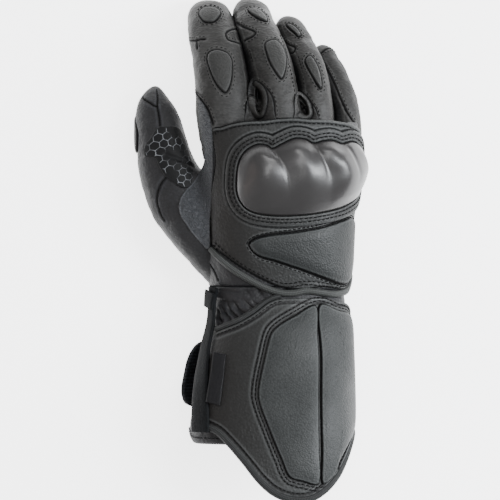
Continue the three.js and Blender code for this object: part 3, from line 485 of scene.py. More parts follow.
def grid_faces(rows, columns, around=True):
    """Four-cornered faces of a grid whose last column joins its first one where it goes around."""
    r, c = np.meshgrid(np.arange(rows - 1), np.arange(columns if around else columns - 1), indexing="ij")
    here, right = r * columns + c, r * columns + (c + 1) % columns
    return np.stack([here, right, right + columns, here + columns], -1).reshape(-1, 4)


def make_piece(name, grid, material, slot, stands_for=(), rub=None, lay=None, fill=None, faces=None,
        shut=False):
    """Makes a piece from a grid of points: rows of rings, or of strips that close on themselves.

    Its volume, summed over the faces, tells whether they point outwards. Points that coincide, at poles and
    seams, are joined. "shut" gives each end row a middle point, so that an open end is closed. Where it is
    "sheet", each upper point of an end row meets the lower one instead.
    """
    if shut == "sheet":
        grid = np.concatenate([(grid[:1] + grid[:1, ::-1]) / 2, grid, (grid[-1:] + grid[-1:, ::-1]) / 2])
        rub = None if rub is None else np.concatenate([rub[:1], rub, rub[-1:]])
    elif shut:
        grid = np.concatenate([grid[:1] * 0 + grid[:1].mean(1, keepdims=True), grid,
            grid[-1:] * 0 + grid[-1:].mean(1, keepdims=True)])
        rub = None if rub is None else np.concatenate([rub[:1], rub, rub[-1:]])
        lay = None if lay is None else np.concatenate([lay[:1], lay, lay[-1:]])
    if faces is None:
        faces = grid_faces(*grid.shape[:2])
    points = grid.reshape(-1, 3) * METRE
    corners = points[faces]
    p, q, r, s = np.moveaxis(corners, 1, 0)
    volume = (p * np.cross(q, r)).sum() + (p * np.cross(r, s)).sum()
    if volume < 0:
        faces = faces[:, ::-1]
    mesh = bpy.data.meshes.new(name)
    mesh.vertices.add(len(points))
    mesh.vertices.foreach_set("co", points.astype(np.float32).ravel())
    mesh.loops.add(faces.size)
    mesh.loops.foreach_set("vertex_index", faces.astype(np.int32).ravel())
    mesh.polygons.add(len(faces))
    mesh.polygons.foreach_set("loop_start", np.arange(0, faces.size, 4, dtype=np.int32))
    mesh.update(calc_edges=True)
    shine = np.zeros(len(points)) if rub is None else np.clip(rub.reshape(-1), -1, 1)
    mesh.attributes.new("rub", "FLOAT", "POINT").data.foreach_set("value", shine.astype(np.float32))
    if lay is not None:
        flat = np.column_stack([lay.reshape(-1, 2) * METRE, np.zeros(len(points))])
        mesh.attributes.new("lay", "FLOAT_VECTOR", "POINT").data.foreach_set("vector",
            flat.astype(np.float32).ravel())
    work = bmesh.new()
    work.from_mesh(mesh)
    bmesh.ops.remove_doubles(work, verts=work.verts, dist=2e-6)
    work.to_mesh(mesh)
    work.free()
    mesh.shade_smooth()
    mesh.materials.append(material)
    piece = bpy.data.objects.new(name, mesh)
    bpy.context.scene.collection.objects.link(piece)
    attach(piece, "root")
    if stands_for:
        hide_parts(*stands_for)
    return piece


def patch(outline, spine, length, rings, crowd=1.5):
    """Places inside a closed line, in rows that run from one side over a straight spine to the other side.

    The line is parted into two sides at the points that lie furthest beyond the two ends of the spine. Each
    side's points move to the spine's, in steps that grow from the rim inwards. The second result is how far
    in each place is, from 0 at the rim to 1 at the spine.
    """
    spine = np.asarray(spine, float)
    run = spine[1] - spine[0]
    score = (outline - spine[0]) @ run
    ring = np.roll(outline[:-1], -score[:-1].argmin(), axis=0)
    far = ((ring - spine[0]) @ run).argmax()
    one = evenly(ring[: far + 1], length)
    other = evenly(np.vstack([ring[far:], ring[:1]]), length)[::-1]
    keel = spine[0] + run * np.linspace(0, 1, length)[:, None]
    share = np.linspace(0, 1, rings) ** crowd
    left = one[:, None] * (1 - share[:, None]) + keel[:, None] * share[:, None]
    right = other[:, None] * (1 - share[::-1, None]) + keel[:, None] * share[::-1, None]
    places = np.concatenate([left, right[:, 1:]], axis=1)
    return places, np.concatenate([share, share[::-1][1:]])[None, :].repeat(length, 0)


def sparse(columns, step=6):
    """Every sixth column of a hidden underside, with the first and last one."""
    return np.append(np.arange(0, columns - 1, step), columns - 1)


def sewn_on(name, skin, outline, spine, base, top, material, slot, length=160, rings=36, **options):
    """A closed pad on a skin: top(places, share, distance from rim) lifts its face, base its underside."""
    places, share = patch(outline, spine, length, rings)
    a, b = places[..., 0], places[..., 1]
    distance, _ = from_line(a, b, outline, reach=60)
    lift, rub = top(a, b, share, distance)
    upper = skin.place(a, b, lift)
    few = sparse(a.shape[1])[::-1]
    lower = skin.place(a[:, few], b[:, few], np.full(a[:, few].shape, base))
    lay = np.concatenate([places, places[:, few]], axis=1)
    # The hidden underside is painted a little dark, as shade under the pad.
    rub = np.concatenate([rub, rub[:, few] * 0 - 0.5], axis=1)
    return make_piece(name, np.concatenate([upper, lower], axis=1), material, slot, rub=rub, lay=lay,
        **options)


def rounded(distance, radius):
    """A quarter circle: 0 at the rim, 1 from the radius inwards."""
    return np.sqrt(1 - (1 - np.clip(distance / radius, 0, 1)) ** 2)


def band(name, skin, line, profile, material, slot, closed=False, **options):
    """A profile of sideways places and lifts, carried along a line on a skin."""
    before = np.roll(line, 1, axis=0) if closed else np.vstack([line[:1], line[:-1]])
    after = np.roll(line, -1, axis=0) if closed else np.vstack([line[1:], line[-1:]])
    run = after - before
    run /= np.linalg.norm(run, axis=1, keepdims=True)
    profile = np.broadcast_to(profile, (len(line), *np.shape(profile)[-2:]))
    side, lift = profile[..., 0], profile[..., 1]
    a, b = line[:, :1] + run[:, 1:] * side, line[:, 1:] - run[:, :1] * side
    grid = skin.place(a, b, lift)
    along = np.concatenate([[0], np.cumsum(np.linalg.norm(np.diff(line, axis=0), axis=1))])
    around = np.cumsum(np.pad(np.hypot(np.diff(side, axis=1), np.diff(lift, axis=1)), ((0, 0), (1, 0))),
        axis=1)
    lay = np.stack([np.broadcast_to(along[:, None], side.shape), around], -1)
    rub = options.pop("rub", None)
    rub = None if rub is None else np.broadcast_to(rub, side.shape)
    if closed:
        grid, lay = np.concatenate([grid, grid[:1]]), np.concatenate([lay, lay[-1:]])
        rub = None if rub is None else np.concatenate([rub, rub[:1]])
    return make_piece(name, grid, material, slot, rub=rub, lay=lay, shut=not closed, **options)


def bead(width, base, height, points=16):
    """A flat-bottomed bead: half an ellipse over a straight base."""
    turn = np.linspace(np.pi, 0, points)
    return np.column_stack([width / 2 * np.cos(turn), base + height * np.sin(turn) ** 0.8])


def beside(line, shift):
    """The same line moved sideways; + is to the right of its direction."""
    run = np.gradient(line, axis=0)
    run /= np.linalg.norm(run, axis=1, keepdims=True) + 1e-9
    return line + np.column_stack([run[:, 1], -run[:, 0]]) * shift


def stitches(name, runs, material, slot, pitch=3.0, length=2.3, thick=0.42):
    """Small capsules along lines on a skin: one shape of three rings and two ends, set on its line."""
    turn = np.linspace(0, 2 * np.pi, 6)[:-1]
    rings = [(-0.5, 0.0), (-0.42, 0.8), (0.0, 1.0), (0.42, 0.8), (0.5, 0.0)]
    shape = np.array([[(length * x, thick * r * np.cos(t), thick * r * np.sin(t)) for t in turn]
        for x, r in rings])
    grids = []
    for skin, line, lift in runs:
        total = np.linalg.norm(np.diff(line, axis=0), axis=1).sum()
        count = max(2, int(total / pitch))
        spots = evenly(line, 2 * count + 1)
        middle, before, after = spots[1::2], spots[:-1:2], spots[2::2]
        p = skin.place(middle[:, 0], middle[:, 1], np.full(count, lift))
        out = skin.place(middle[:, 0], middle[:, 1], np.full(count, lift + 1.0)) - p
        ahead = (skin.place(after[:, 0], after[:, 1], np.full(count, lift))
            - skin.place(before[:, 0], before[:, 1], np.full(count, lift)))
        ahead /= np.linalg.norm(ahead, axis=1, keepdims=True) + 1e-9
        side = np.cross(out, ahead)
        side /= np.linalg.norm(side, axis=1, keepdims=True) + 1e-9
        out = np.cross(ahead, side)
        frame3 = np.stack([ahead, side, out], axis=1)
        grids.append(p[:, None, None] + shape @ frame3[:, None])
    grid = np.concatenate(grids)
    count, rows, columns = grid.shape[:3]
    one = grid_faces(rows, columns)
    faces = (one[None] + (np.arange(count) * rows * columns)[:, None, None]).reshape(-1, 4)
    return make_piece(name, grid.reshape(count * rows, columns, 3), material, slot, faces=faces)


# Materials.


def new_material(name):
    material = bpy.data.materials.new(name)
    material.use_nodes = True
    return material, material.node_tree, material.node_tree.nodes["Principled BSDF"]


def leather(name, low, high, rubbed, grain=1.2, wrinkle=5.0, depth=0.35, crease=0.2, roughness=(0.46, 0.66),
        stretch=(1, 1, 1), sheen=0.28, thumb_side_shade=None):
    """Aniline goatskin: a pebble grain and soft wrinkles. A mesh attribute makes raised ridges paler, as wear
    and painted highlight, and paints grooves near black, as painted shade.

    The cells are drawn a little coarser than real ones, which would be lost at this size. The last argument
    is a darker, brownish colour painted towards the thumb side of the glove, as shade on the side turned away
    from the brightest lamp.
    """
    material, tree, shader = new_material(name)
    coords = add(tree, "TexCoord", "Object")
    pull = add(tree, "Mapping", "Vector", {"Scale": stretch}, {"Vector": coords})
    patches = add(tree, "TexNoise", "Fac", {"Scale": MM / 38, "Detail": 3.0}, {"Vector": coords})
    pebble = add(tree, "TexVoronoi", "Distance", {"Scale": MM / grain, "Smoothness": 0.6}, {"Vector": pull},
        feature="SMOOTH_F1")
    fine = add(tree, "TexNoise", "Fac", {"Scale": MM / 0.7, "Detail": 2.0}, {"Vector": coords})
    wavy = add(tree, "TexNoise", "Fac", {"Scale": MM / wrinkle, "Detail": 4.0, "Roughness": 0.62,
        "Distortion": 0.7}, {"Vector": pull})
    rub = add(tree, "Attribute", "Fac", attribute_name="rub")
    blend = add(tree, "Math", "Value", links={0: patches, 1: pebble}, operation="MULTIPLY")
    tone = add(tree, "MapRange", "Result", {"From Min": 0.1, "From Max": 0.5}, {"Value": blend})
    base = add(tree, "Mix", "Result", {"A": srgb(high), "B": srgb(low)}, {"Factor": tone}, data_type="RGBA")
    # Painted shade: towards the thumb side the base colour turns to a darker, brownish colour.
    if thumb_side_shade:
        place = add(tree, "SeparateXYZ", "X", links={"Vector": coords})
        left = add(tree, "MapRange", "Result", {"From Min": 0.03, "From Max": -0.022}, {"Value": place})
        base = add(tree, "Mix", "Result", {"B": srgb(thumb_side_shade)}, {"Factor": left, "A": base}, data_type="RGBA")
    # Raised values of the attribute make the leather paler, as wear and painted highlight; low values paint
    # it near black, as shade in grooves, pits, gaps and at rims.
    raised = add(tree, "MapRange", "Result", {"From Min": 0.0, "From Max": 1.0}, {"Value": rub})
    sunk = add(tree, "MapRange", "Result", {"From Min": 0.0, "From Max": -0.8}, {"Value": rub})
    paler = add(tree, "Mix", "Result", {"B": srgb(rubbed)}, {"Factor": raised, "A": base}, data_type="RGBA")
    darker = add(tree, "Mix", "Result", {"B": srgb("#050506")}, {"Factor": sunk, "A": paler},
        data_type="RGBA")
    tree.links.new(darker, shader.inputs["Base Color"])
    gloss = add(tree, "MapRange", "Result", {"From Min": 0.35, "From Max": 0.65, "To Min": roughness[0],
        "To Max": roughness[1]}, {"Value": patches})
    tree.links.new(gloss, shader.inputs["Roughness"])
    skin = add(tree, "Bump", "Normal", {"Strength": depth, "Distance": 0.0006}, {"Height": pebble},
        invert=True)
    creased = add(tree, "Bump", "Normal", {"Strength": crease, "Distance": 0.0022},
        {"Height": wavy, "Normal": skin})
    worn = add(tree, "Bump", "Normal", {"Strength": 0.15, "Distance": 0.0004},
        {"Height": fine, "Normal": creased})
    tree.links.new(worn, shader.inputs["Normal"])
    shader.inputs["Specular IOR Level"].default_value = sheen
    return material


def moulded_guard():
    """Moulded polyurethane: a near-black satin gloss, faintly brown, with slight orange peel."""
    material, tree, shader = new_material("moulded polyurethane guard")
    coords = add(tree, "TexCoord", "Object")
    cloud = add(tree, "TexNoise", "Fac", {"Scale": MM / 22, "Detail": 3.0}, {"Vector": coords})
    peel = add(tree, "TexNoise", "Fac", {"Scale": MM / 1.4, "Detail": 1.0}, {"Vector": coords})
    base = add(tree, "Mix", "Result", {"A": srgb("#232121"), "B": srgb("#2f2e2e")}, {"Factor": cloud},
        data_type="RGBA")
    tree.links.new(base, shader.inputs["Base Color"])
    gloss = add(tree, "MapRange", "Result", {"To Min": 0.27, "To Max": 0.36}, {"Value": cloud})
    tree.links.new(gloss, shader.inputs["Roughness"])
    bump = add(tree, "Bump", "Normal", {"Strength": 0.08, "Distance": 0.0003}, {"Height": peel})
    tree.links.new(bump, shader.inputs["Normal"])
    shader.inputs["IOR"].default_value = 1.5
    return material


def woven(name, dark, light, pitch, across, roughness=0.75, depth=0.5):
    """Woven nylon: ribs along the piece and threads across them, from its own laid-out lengths."""
    material, tree, shader = new_material(name)
    lay = add(tree, "Attribute", "Vector", attribute_name="lay")
    ribs = add(tree, "TexWave", "Fac", {"Scale": MM * WAVE / pitch, "Distortion": 0.4, "Detail": 1.0},
        {"Vector": lay}, bands_direction="X")
    threads = add(tree, "TexWave", "Fac", {"Scale": MM * WAVE / across, "Distortion": 0.6, "Detail": 1.0},
        {"Vector": lay}, bands_direction="Y")
    cross = add(tree, "Math", "Value", links={0: ribs, 1: threads}, operation="MULTIPLY")
    coords = add(tree, "TexCoord", "Object")
    dirt = add(tree, "TexNoise", "Fac", {"Scale": MM / 9, "Detail": 4.0}, {"Vector": coords})
    tone = add(tree, "Math", "Value", links={0: cross, 1: dirt}, operation="MULTIPLY")
    spread = add(tree, "MapRange", "Result", {"From Max": 0.45}, {"Value": tone})
    base = add(tree, "Mix", "Result", {"A": srgb(dark), "B": srgb(light)}, {"Factor": spread},
        data_type="RGBA")
    tree.links.new(base, shader.inputs["Base Color"])
    bump = add(tree, "Bump", "Normal", {"Strength": depth, "Distance": 0.0005}, {"Height": cross})
    tree.links.new(bump, shader.inputs["Normal"])
    shader.inputs["Roughness"].default_value = roughness
    shader.inputs["Specular IOR Level"].default_value = 0.2
    return material


def napped(name, dark, light):
    """Brushed polyester fleece: short curly fibres that scatter light softly."""
    material, tree, shader = new_material(name)
    coords = add(tree, "TexCoord", "Object")
    curls = add(tree, "TexNoise", "Fac", {"Scale": MM / 1.6, "Detail": 5.0, "Distortion": 1.4},
        {"Vector": coords})
    base = add(tree, "Mix", "Result", {"A": srgb(dark), "B": srgb(light)}, {"Factor": curls},
        data_type="RGBA")
    tree.links.new(base, shader.inputs["Base Color"])
    bump = add(tree, "Bump", "Normal", {"Strength": 0.8, "Distance": 0.0009}, {"Height": curls})
    tree.links.new(bump, shader.inputs["Normal"])
    shader.inputs["Roughness"].default_value = 0.95
    shader.inputs["Sheen Weight"].default_value = 0.5
    return material


BACK_HIDE = leather("milled goatskin, back", "#171817", "#252626", "#464848", grain=1.5, depth=0.45,
    thumb_side_shade="#131211")
SIDE_HIDE = leather("wavy goatskin, thumb side", "#191b1e", "#2a2c30", "#494b50", wrinkle=2.2, depth=0.35,
    crease=0.9, sheen=0.4)
DARK_HIDE = leather("milled goatskin, dark sides", "#141415", "#1d1d1f", "#303135", grain=1.5, crease=0.25)
STRAP_HIDE = leather("smooth strap leather", "#08090a", "#0f1113", "#303338", crease=0.06,
    roughness=(0.65, 0.8), sheen=0.11)
FINGER_HIDE = leather("milled goatskin, fingers", "#171716", "#232221", "#424241", grain=1.4, wrinkle=3.0,
    stretch=(0.5, 1.2, 1))
PAD_HIDE = leather("foam-backed goatskin, cuff pads", "#1d1f1f", "#2a2c2c", "#484b4b", grain=1.15,
    wrinkle=7.0, depth=0.42, crease=0.05)
# Painted shade: the hand pad gets a darker copy of the cuff pads' leather, so that it looks dimmer.
HAND_PAD_HIDE = leather("foam-backed goatskin, hand pad", "#181a1a", "#222424", "#444747", grain=1.15,
    wrinkle=7.0, depth=0.42, crease=0.05)
DOT_HIDE = leather("foam-backed goatskin, finger pads", "#191918", "#232322", "#3b3c3c", grain=1.3,
    wrinkle=7.0, crease=0.05)
GUARD = moulded_guard()
PIPING = woven("reflective twill piping", "#2a2b2a", "#434544", 1.0, 1.4, roughness=0.65, depth=0.25)
BINDING = woven("twill binding", "#1c1d1d", "#333434", 1.0, 1.4, roughness=0.7, depth=0.25)
WEBBING = woven("ribbed nylon webbing", "#101114", "#272a30", 2.2, 1.2)
TAPE = woven("satin woven tape", "#070709", "#131317", 0.8, 0.8, roughness=0.5, depth=0.3)
THREAD = woven("bonded nylon thread", "#030303", "#0a0a0b", 0.6, 0.6, roughness=0.9, depth=0.2)
LINING = napped("brushed fleece lining", "#0d0e10", "#1a1c20")

# Outlines, seen from above.

BACK_PANEL = [(-24.8, 78.5), (-19, 80.2), (-12, 82.4), (-3, 83.8), (8, 84.3), (18, 85.6), (29, 86),
    (38, 85.2), (50, 85), (58, 84), (65, 82.6, 0), (69, 78, 4), (70.5, 62, 9), (69, 40, 9), (66, 20, 9),
    (64, 0, 9), (63, -16, 6), (60.5, -25.5, 0), (48, -24, 0), (34, -25.5), (20, -24), (8, -19), (-6, -11),
    (-17, -3), (-25, 4), (-26, 18), (-25, 36), (-23.5, 48), (-22.5, 62)]
GUARD_RIM = [(-8.5, 50), (-7, 58), (-3, 64.5), (4, 68.5), (10, 68), (14, 66), (20, 69), (28, 72.5),
    (35, 72), (40, 69.5), (46, 71), (52, 71.5), (58, 69.5), (63.5, 71), (67.5, 70), (70, 65, 2),
    (70.5, 55, 5.5), (69.8, 45, 4), (67.5, 36, 1.5), (62.5, 30.5), (55, 27), (42, 24), (28, 22.5),
    (14, 22.5), (2, 24.5), (-5, 29.5), (-8.5, 38)]
PAD_RIM = [(-0.5, 3), (3, 7), (12, 9.5), (28, 11.5), (44, 14.5), (58, 19), (64, 21, 0), (65.5, 16, 3),
    (64.5, 0, 5), (63.5, -14, 4), (61.5, -21, 1), (58, -22), (48, -18.5), (32, -12.5), (16, -7), (5, -3.5)]
PLATE_LEFT = [(41.5, -36.5), (28, -43), (16.5, -50.5), (12.5, -57), (8.5, -74), (5.5, -90), (6, -99),
    (12, -116), (20, -136), (25, -147), (33, -150), (43, -151.5), (43.4, -130), (43, -95), (42.6, -60)]
PLATE_RIGHT = [(43.8, -36), (55, -39.5), (62, -43.5, 1), (63, -58, 5), (63.5, -85, 8), (63.5, -108, 8),
    (63, -118, 4), (60.5, -127), (55.5, -137.5), (52, -147), (45.2, -151.5), (45, -130), (44.4, -95),
    (44, -60)]
BOTH_PLATES = [(43, -35.5), (28, -43), (16.5, -50.5), (12.5, -57), (8.5, -74), (5.5, -90), (6, -99),
    (12, -116), (20, -136), (25, -147), (33, -150), (45, -152), (52, -147), (55.5, -137.5), (60.5, -127),
    (63, -118, 4), (63.5, -108, 8), (63.5, -85, 8), (63, -58, 5), (62, -43.5, 1), (55, -39.5)]
HEM_LINE = [(-28, -113.5), (-20, -117.5), (-12, -125.5), (-3, -136), (7, -148.5), (16, -156.3),
    (26, -160.2), (37, -160.2), (46, -155.3), (54, -146.5), (59.5, -136), (63, -126, 1), (64, -119, 8),
    (64, -118, 22)]
TOP_LINE = [(-21.5, -54), (-9, -48.5), (2, -42), (12, -34.5), (20, -32), (34, -31.5), (48, -31.6),
    (56, -34), (60, -35, 1), (62, -40, 9), (62.5, -42, 22)]
WRIST_LINE = [(-25.5, 0.5), (-19, -6.5), (-10, -13.8), (2, -21), (11, -25.4), (20, -28), (28, -28.2),
    (36, -26.8), (44, -27.6), (53, -28.8), (59, -28.2, 0), (62.5, -25.5, 1.5), (64, -17, 5)]
GAUNTLET_LEFT = [(-21.5, -54), (-26.5, -72), (-30, -92), (-30, -110)]
STRAP_LINE = [(-22.5, -24), (-23.5, -34), (-24.5, -48), (-28, -64), (-31, -84), (-32, -102), (-32, -119)]
KEEPER_LINE = [(-23, -27.5), (-23.6, -32.5), (-24, -38)]
LABEL = [(-24.2, -66.5), (-17.3, -68.3), (-21.0, -101.4), (-29.2, -99.1)]


def on(skin, points, closed=False, count=240):
    """A smooth line on a skin, through points seen from above."""
    return smooth_line(skin.find(points), closed, count)


panel_rim = on(trunk, BACK_PANEL, True, 500)
guard_rim = on(trunk, GUARD_RIM, True, 500)
pad_rim = on(trunk, PAD_RIM, True, 400)
plate_left = on(trunk, PLATE_LEFT, True, 400)
plate_right = on(trunk, PLATE_RIGHT, True, 400)
both_plates = on(trunk, BOTH_PLATES, True, 500)
hem = on(trunk, HEM_LINE, count=400)
cuff_top = on(trunk, TOP_LINE, count=400)
gauntlet_left = on(trunk, GAUNTLET_LEFT, count=120)
wrist_line = on(trunk, WRIST_LINE, count=300)
strap_line = on(trunk, STRAP_LINE, count=240)
keeper_line = on(trunk, KEEPER_LINE, count=40)


def winding(loop):
    """1 for a closed line that runs against the clock, and -1 for one that runs with it."""
    return 1 if (loop[:-1, 0] * loop[1:, 1] - loop[1:, 0] * loop[:-1, 1]).sum() > 0 else -1


def outward(loop, shift):
    """A closed line moved away from its middle."""
    return beside(loop, shift * winding(loop))


# Hand, wrist and cuff skins.


def hem_bend(a, b):
    """The hem rises by up to 6 mm where it turns around the thumb side, and less so away from there."""
    corner = np.interp(-np.pi / 2, trunk.turns, trunk.girths[50])
    return b + 6.0 * bell(a - corner, 9) * (1 - fade(b, HEM_Y, HEM_Y + 40))


def trunk_skin(name, low, high, seams, material, slot, stands_for, step=0.75, folds=None, curl=(0.8, 0.8),
        flat=0.25, pouch=False):
    """A tube with an outer and an inner wall between two stations, drawn in by "curl" at each end.

    A pouch is closed at its far end, by a middle point in each of the two walls.
    """
    rows = int((high - low) / step)
    y = np.linspace(low, high, rows)
    left, right = trunk.span(y)
    columns = 2 * int(np.max(right - left) / step / 2)
    share = (np.arange(columns) + 0.5) / columns
    a = left[:, None] + (right - left)[:, None] * share
    b = np.broadcast_to(y[:, None], a.shape)
    lift, rub = relief(a, b, seams)
    if folds is not None:
        more, shade = folds(a, b)
        lift, rub = lift + more, rub + shade
    lift += flat * (noise(a, b, 14, 3.1) - 1) + 0.5 * flat * (noise(a, b, 5, 8.3) - 1)
    ends = np.minimum((b - low) / 1.6, (high - b) / 1.6)
    edge = np.where(b - low < high - b, curl[0], curl[1])
    lift -= edge * (1 - rounded(ends, 1.0))
    if low == HEM_Y:
        b = hem_bend(a, b)
    outer = trunk.place(a, b, lift)
    back = slice(None, None, -5)
    inner = trunk.place(a[back], np.minimum(b[back], high - 3.0 * pouch), np.full(a[back].shape, -WALL))
    # The inner wall is painted a little darker, as shade inside the glove.
    plain = np.full(inner.shape[:2], -0.3)
    if pouch:
        grid = np.concatenate([inner, outer])
        return make_piece(name, grid, material, slot, stands_for, rub=np.concatenate([plain, rub]), shut=True)
    grid = np.concatenate([inner, outer, inner[:1]])
    return make_piece(name, grid, material, slot, stands_for, rub=np.concatenate([plain, rub, plain[:1]]))


THUMB_SEAM = [(-36, 56), (-34, 46), (-33, 34), (-33, 20), (-32, 8), (-29, -4), (-24, -14), (-21.5, -20)]
hand_seams = [(on(trunk, THUMB_SEAM), dict(depth=0.7, lip=0.3)),
    (np.column_stack([np.full(80, 92.0), np.linspace(-24, 84, 80)]), dict(depth=0.7, lip=0.3)),
    (np.column_stack([np.full(80, -92.0), np.linspace(-24, 84, 80)]), dict(depth=0.7, lip=0.3)),
    (np.column_stack([np.linspace(98, 150, 60), 40 + 9 * np.sin(np.linspace(0, 3, 60))]),
    dict(depth=0.5, width=1.4)), (np.column_stack([np.linspace(-150, -102, 60),
    22 + 8 * np.sin(np.linspace(0, 3, 60))]), dict(depth=0.5, width=1.4))]


def hand_folds(a, b):
    """Shallow pull lines towards the thumb and the little-finger edge."""
    wave = np.minimum(0, noise(a + 0.35 * b, b * 3.0, 16, 5.2)) * 0.9 * fade(np.abs(a), 40, 60)
    distance, _ = from_line(a, b, panel_rim, reach=30)
    beyond = ~inside(a, b, panel_rim)
    rise = 1.35 * bell(distance, 13) * fade(distance, 0.2, 0.9) * beyond * (a < 40)
    shade = -1.2 * bell(distance, 0.8) + 0.35 * bell(distance - 1.6, 0.8)
    under = fade(b, 71, 77) * (a < 60)
    return np.where(beyond, (wave + rise) * (1 - under) - 3.0 * under, -0.3), np.where(beyond, shade, 0)


trunk_skin("hand_leather", WRIST_Y, KNUCKLE_Y, hand_seams, DARK_HIDE, "dark_leather",
    ("hand_body", "finger_web"), step=0.95, folds=hand_folds, curl=(0.9, 0.8), pouch=True)


def gathers(a, b):
    """Elastic gathers: sharp valleys between round folds that wander, deepest at the back's thumb side."""
    drift = 2.6 * noise(a, b * 0.3, 18, 2.4) + 1.2 * noise(a, b, 7, 4.4)
    phase = np.pi * (b + drift - CUFF_Y) / (26 / 3.4)
    ridge = np.abs(np.sin(phase)) ** 0.6
    gap, along = from_line(a, b, cuff_top, reach=30)
    above = fade(gap, 1, 4) * (1 - fade(gap, 10, 17)) * (a < 12) * (a > -60)
    pucker = np.abs(np.sin(np.pi * (along + 1.6 * noise(a, b, 6, 7.4) + 0.2 * gap) / 6.4)) ** 0.7
    lift = 1.8 * (ridge - 1) * (1 - 0.85 * above) + 2.3 * above * (pucker - 1)
    roll = bell(b + 31.5 + 0.12 * (a + 20), 4.2) * (a < 30)
    calm = fade(b, CUFF_Y, CUFF_Y + 4) * (1 - fade(b, WRIST_Y - 3, WRIST_Y)) * (1 - 0.9 * roll)
    lift = lift + 0.9 * roll
    # The second value is painted light and shade: paler on the ridges of the folds and darker in their
    # valleys.
    return (lift * calm + 0.9 * roll, (1.2 * (ridge - 0.85) * (1 - above) + 1.3 * above * (pucker - 0.85))
        * calm)


trunk_skin("wrist_gathers", CUFF_Y, WRIST_Y, [], DARK_HIDE, "dark_leather", ("wrist_gather",), step=0.6,
    folds=gathers)


def cuff_folds(a, b):
    """A soft cuff that has bent a little at the thumb side."""
    return 0.7 * (noise(a, b, 26, 6.6) - 1) * 0.5, np.zeros(a.shape)


cuff_seams = [(np.column_stack([np.full(60, 95.0), np.linspace(HEM_Y, CUFF_Y, 60)]), dict(depth=0.6)),
    (np.column_stack([np.linspace(-170, 170, 200), np.full(200, HEM_Y + 6)]), dict(depth=0.5))]
trunk_skin("inner_cuff", HEM_Y, CUFF_Y, cuff_seams, DARK_HIDE, "dark_leather", ("cuff_inner",), step=1.3,
    folds=cuff_folds)


def inner_lining():
    """The fleece inside: the trunk's form less the wall's thickness, closed at the knuckles."""
    y = np.linspace(HEM_Y + 0.8, KNUCKLE_Y - 6, 66)
    left, right = trunk.span(y)
    share = np.linspace(0, 1, 101)[:-1]
    a = left[:, None] + (right - left)[:, None] * share
    b = hem_bend(a, np.broadcast_to(y[:, None], a.shape))
    outer = trunk.place(a, b, np.full(a.shape, -WALL + 0.05))
    inner = trunk.place(a, b, -WALL - 0.9 + 0.25 * noise(a, b, 9, 1.3))
    grid = np.concatenate([outer[::-1], inner])
    middle = np.broadcast_to(inner[-1].mean(0), inner[-1].shape)
    back = np.broadcast_to(outer[-1].mean(0) + [0, 1.0, 0], outer[-1].shape)
    grid = np.concatenate([back[None], grid, middle[None]])
    return make_piece("fleece_lining", grid, LINING, "dark_leather")


inner_lining()

# Fingers and thumb.

FINGER_SEAMS = {"index": [[(-41.5, 138), (-37, 137.6), (-33, 138.2), (-30, 138.5)],
    [(-35.6, 138), (-35.6, 135), (-35.4, 132)], [(-9, 145), (-14, 144.5), (-16.5, 142), (-14.5, 138),
    (-8, 135.3)], [(-3.7, 84.5), (-3.8, 92), (-3.4, 95.5), (-2.2, 98), (-0.6, 99.5)],
    [(-37.8, 103.5), (-34, 100), (-30.5, 95), (-28, 91), (-26, 86), (-25, 82)]],
    "middle": [[(-8.5, 149), (-4, 146.5), (0, 144.7), (3, 143), (0.5, 140), (-4, 137.5)],
    [(2.2, 110.6), (5, 109.3), (7.8, 107.3), (12.4, 102), (14.4, 97), (15.3, 91), (15.3, 84.5)]],
    "ring": [[(17, 142), (20, 138.8), (25, 135.4), (29.3, 133.2), (28, 130), (25.5, 129)],
    [(30.7, 103.6), (35, 101.6), (39.6, 95.8), (42.2, 91.5), (43.3, 87), (43.4, 84.5)]],
    "little": [[(41, 133), (44, 128), (48, 122), (52.5, 115), (56, 107), (59, 100), (62, 93), (65, 88),
    (68, 84)]], "thumb": [[(-62.5, 106), (-61.8, 100), (-62, 95), (-61, 90), (-60.5, 85), (-60, 80.5)],
    [(-72, 101), (-68, 98), (-64.5, 95.5), (-62, 95)], [(-55.5, 48.5), (-59, 44.5), (-61.5, 38), (-62, 33),
    (-61, 28), (-59, 22.5), (-57, 19)]]}
FINGER_PADS = {"index_tip_pad": ("index", [(-34.5, 156.5), (-32, 160), (-27, 161), (-22, 159.5), (-20, 156),
    (-22, 152.5), (-25, 150.3), (-30, 150.3), (-33.5, 153.5)]),
    "index_knuckle_pad": ("index", [(-21, 131), (-15, 128.5), (-12.5, 124), (-12.2, 118), (-13, 110),
    (-14.5, 105), (-16.5, 102.5), (-19, 103.5), (-23, 109), (-26, 115), (-28.5, 123), (-28.5, 127),
    (-26.5, 130)]), "middle_tip_pad": ("middle", [(-2, 159), (0, 156), (4, 153), (8, 151), (10.5, 150.5),
    (10.5, 153), (7, 157.5), (2, 160)]), "middle_knuckle_pad": ("middle",
    [(9, 134), (10.5, 128), (13, 121), (17, 114.5), (20, 112), (22.5, 117), (23, 124), (22, 130), (20, 134),
    (16, 138), (11, 137)]), "ring_tip_pad": ("ring", [(23.5, 149), (25.5, 146), (29, 143), (31, 141),
    (33, 142), (31, 146), (27, 149)]), "ring_knuckle_pad": ("ring",
    [(38.5, 128), (35.5, 125), (36, 122), (38.5, 117), (41.5, 111.5), (44.5, 107), (46.3, 106), (46.3, 112),
    (44, 120), (41, 126)])}
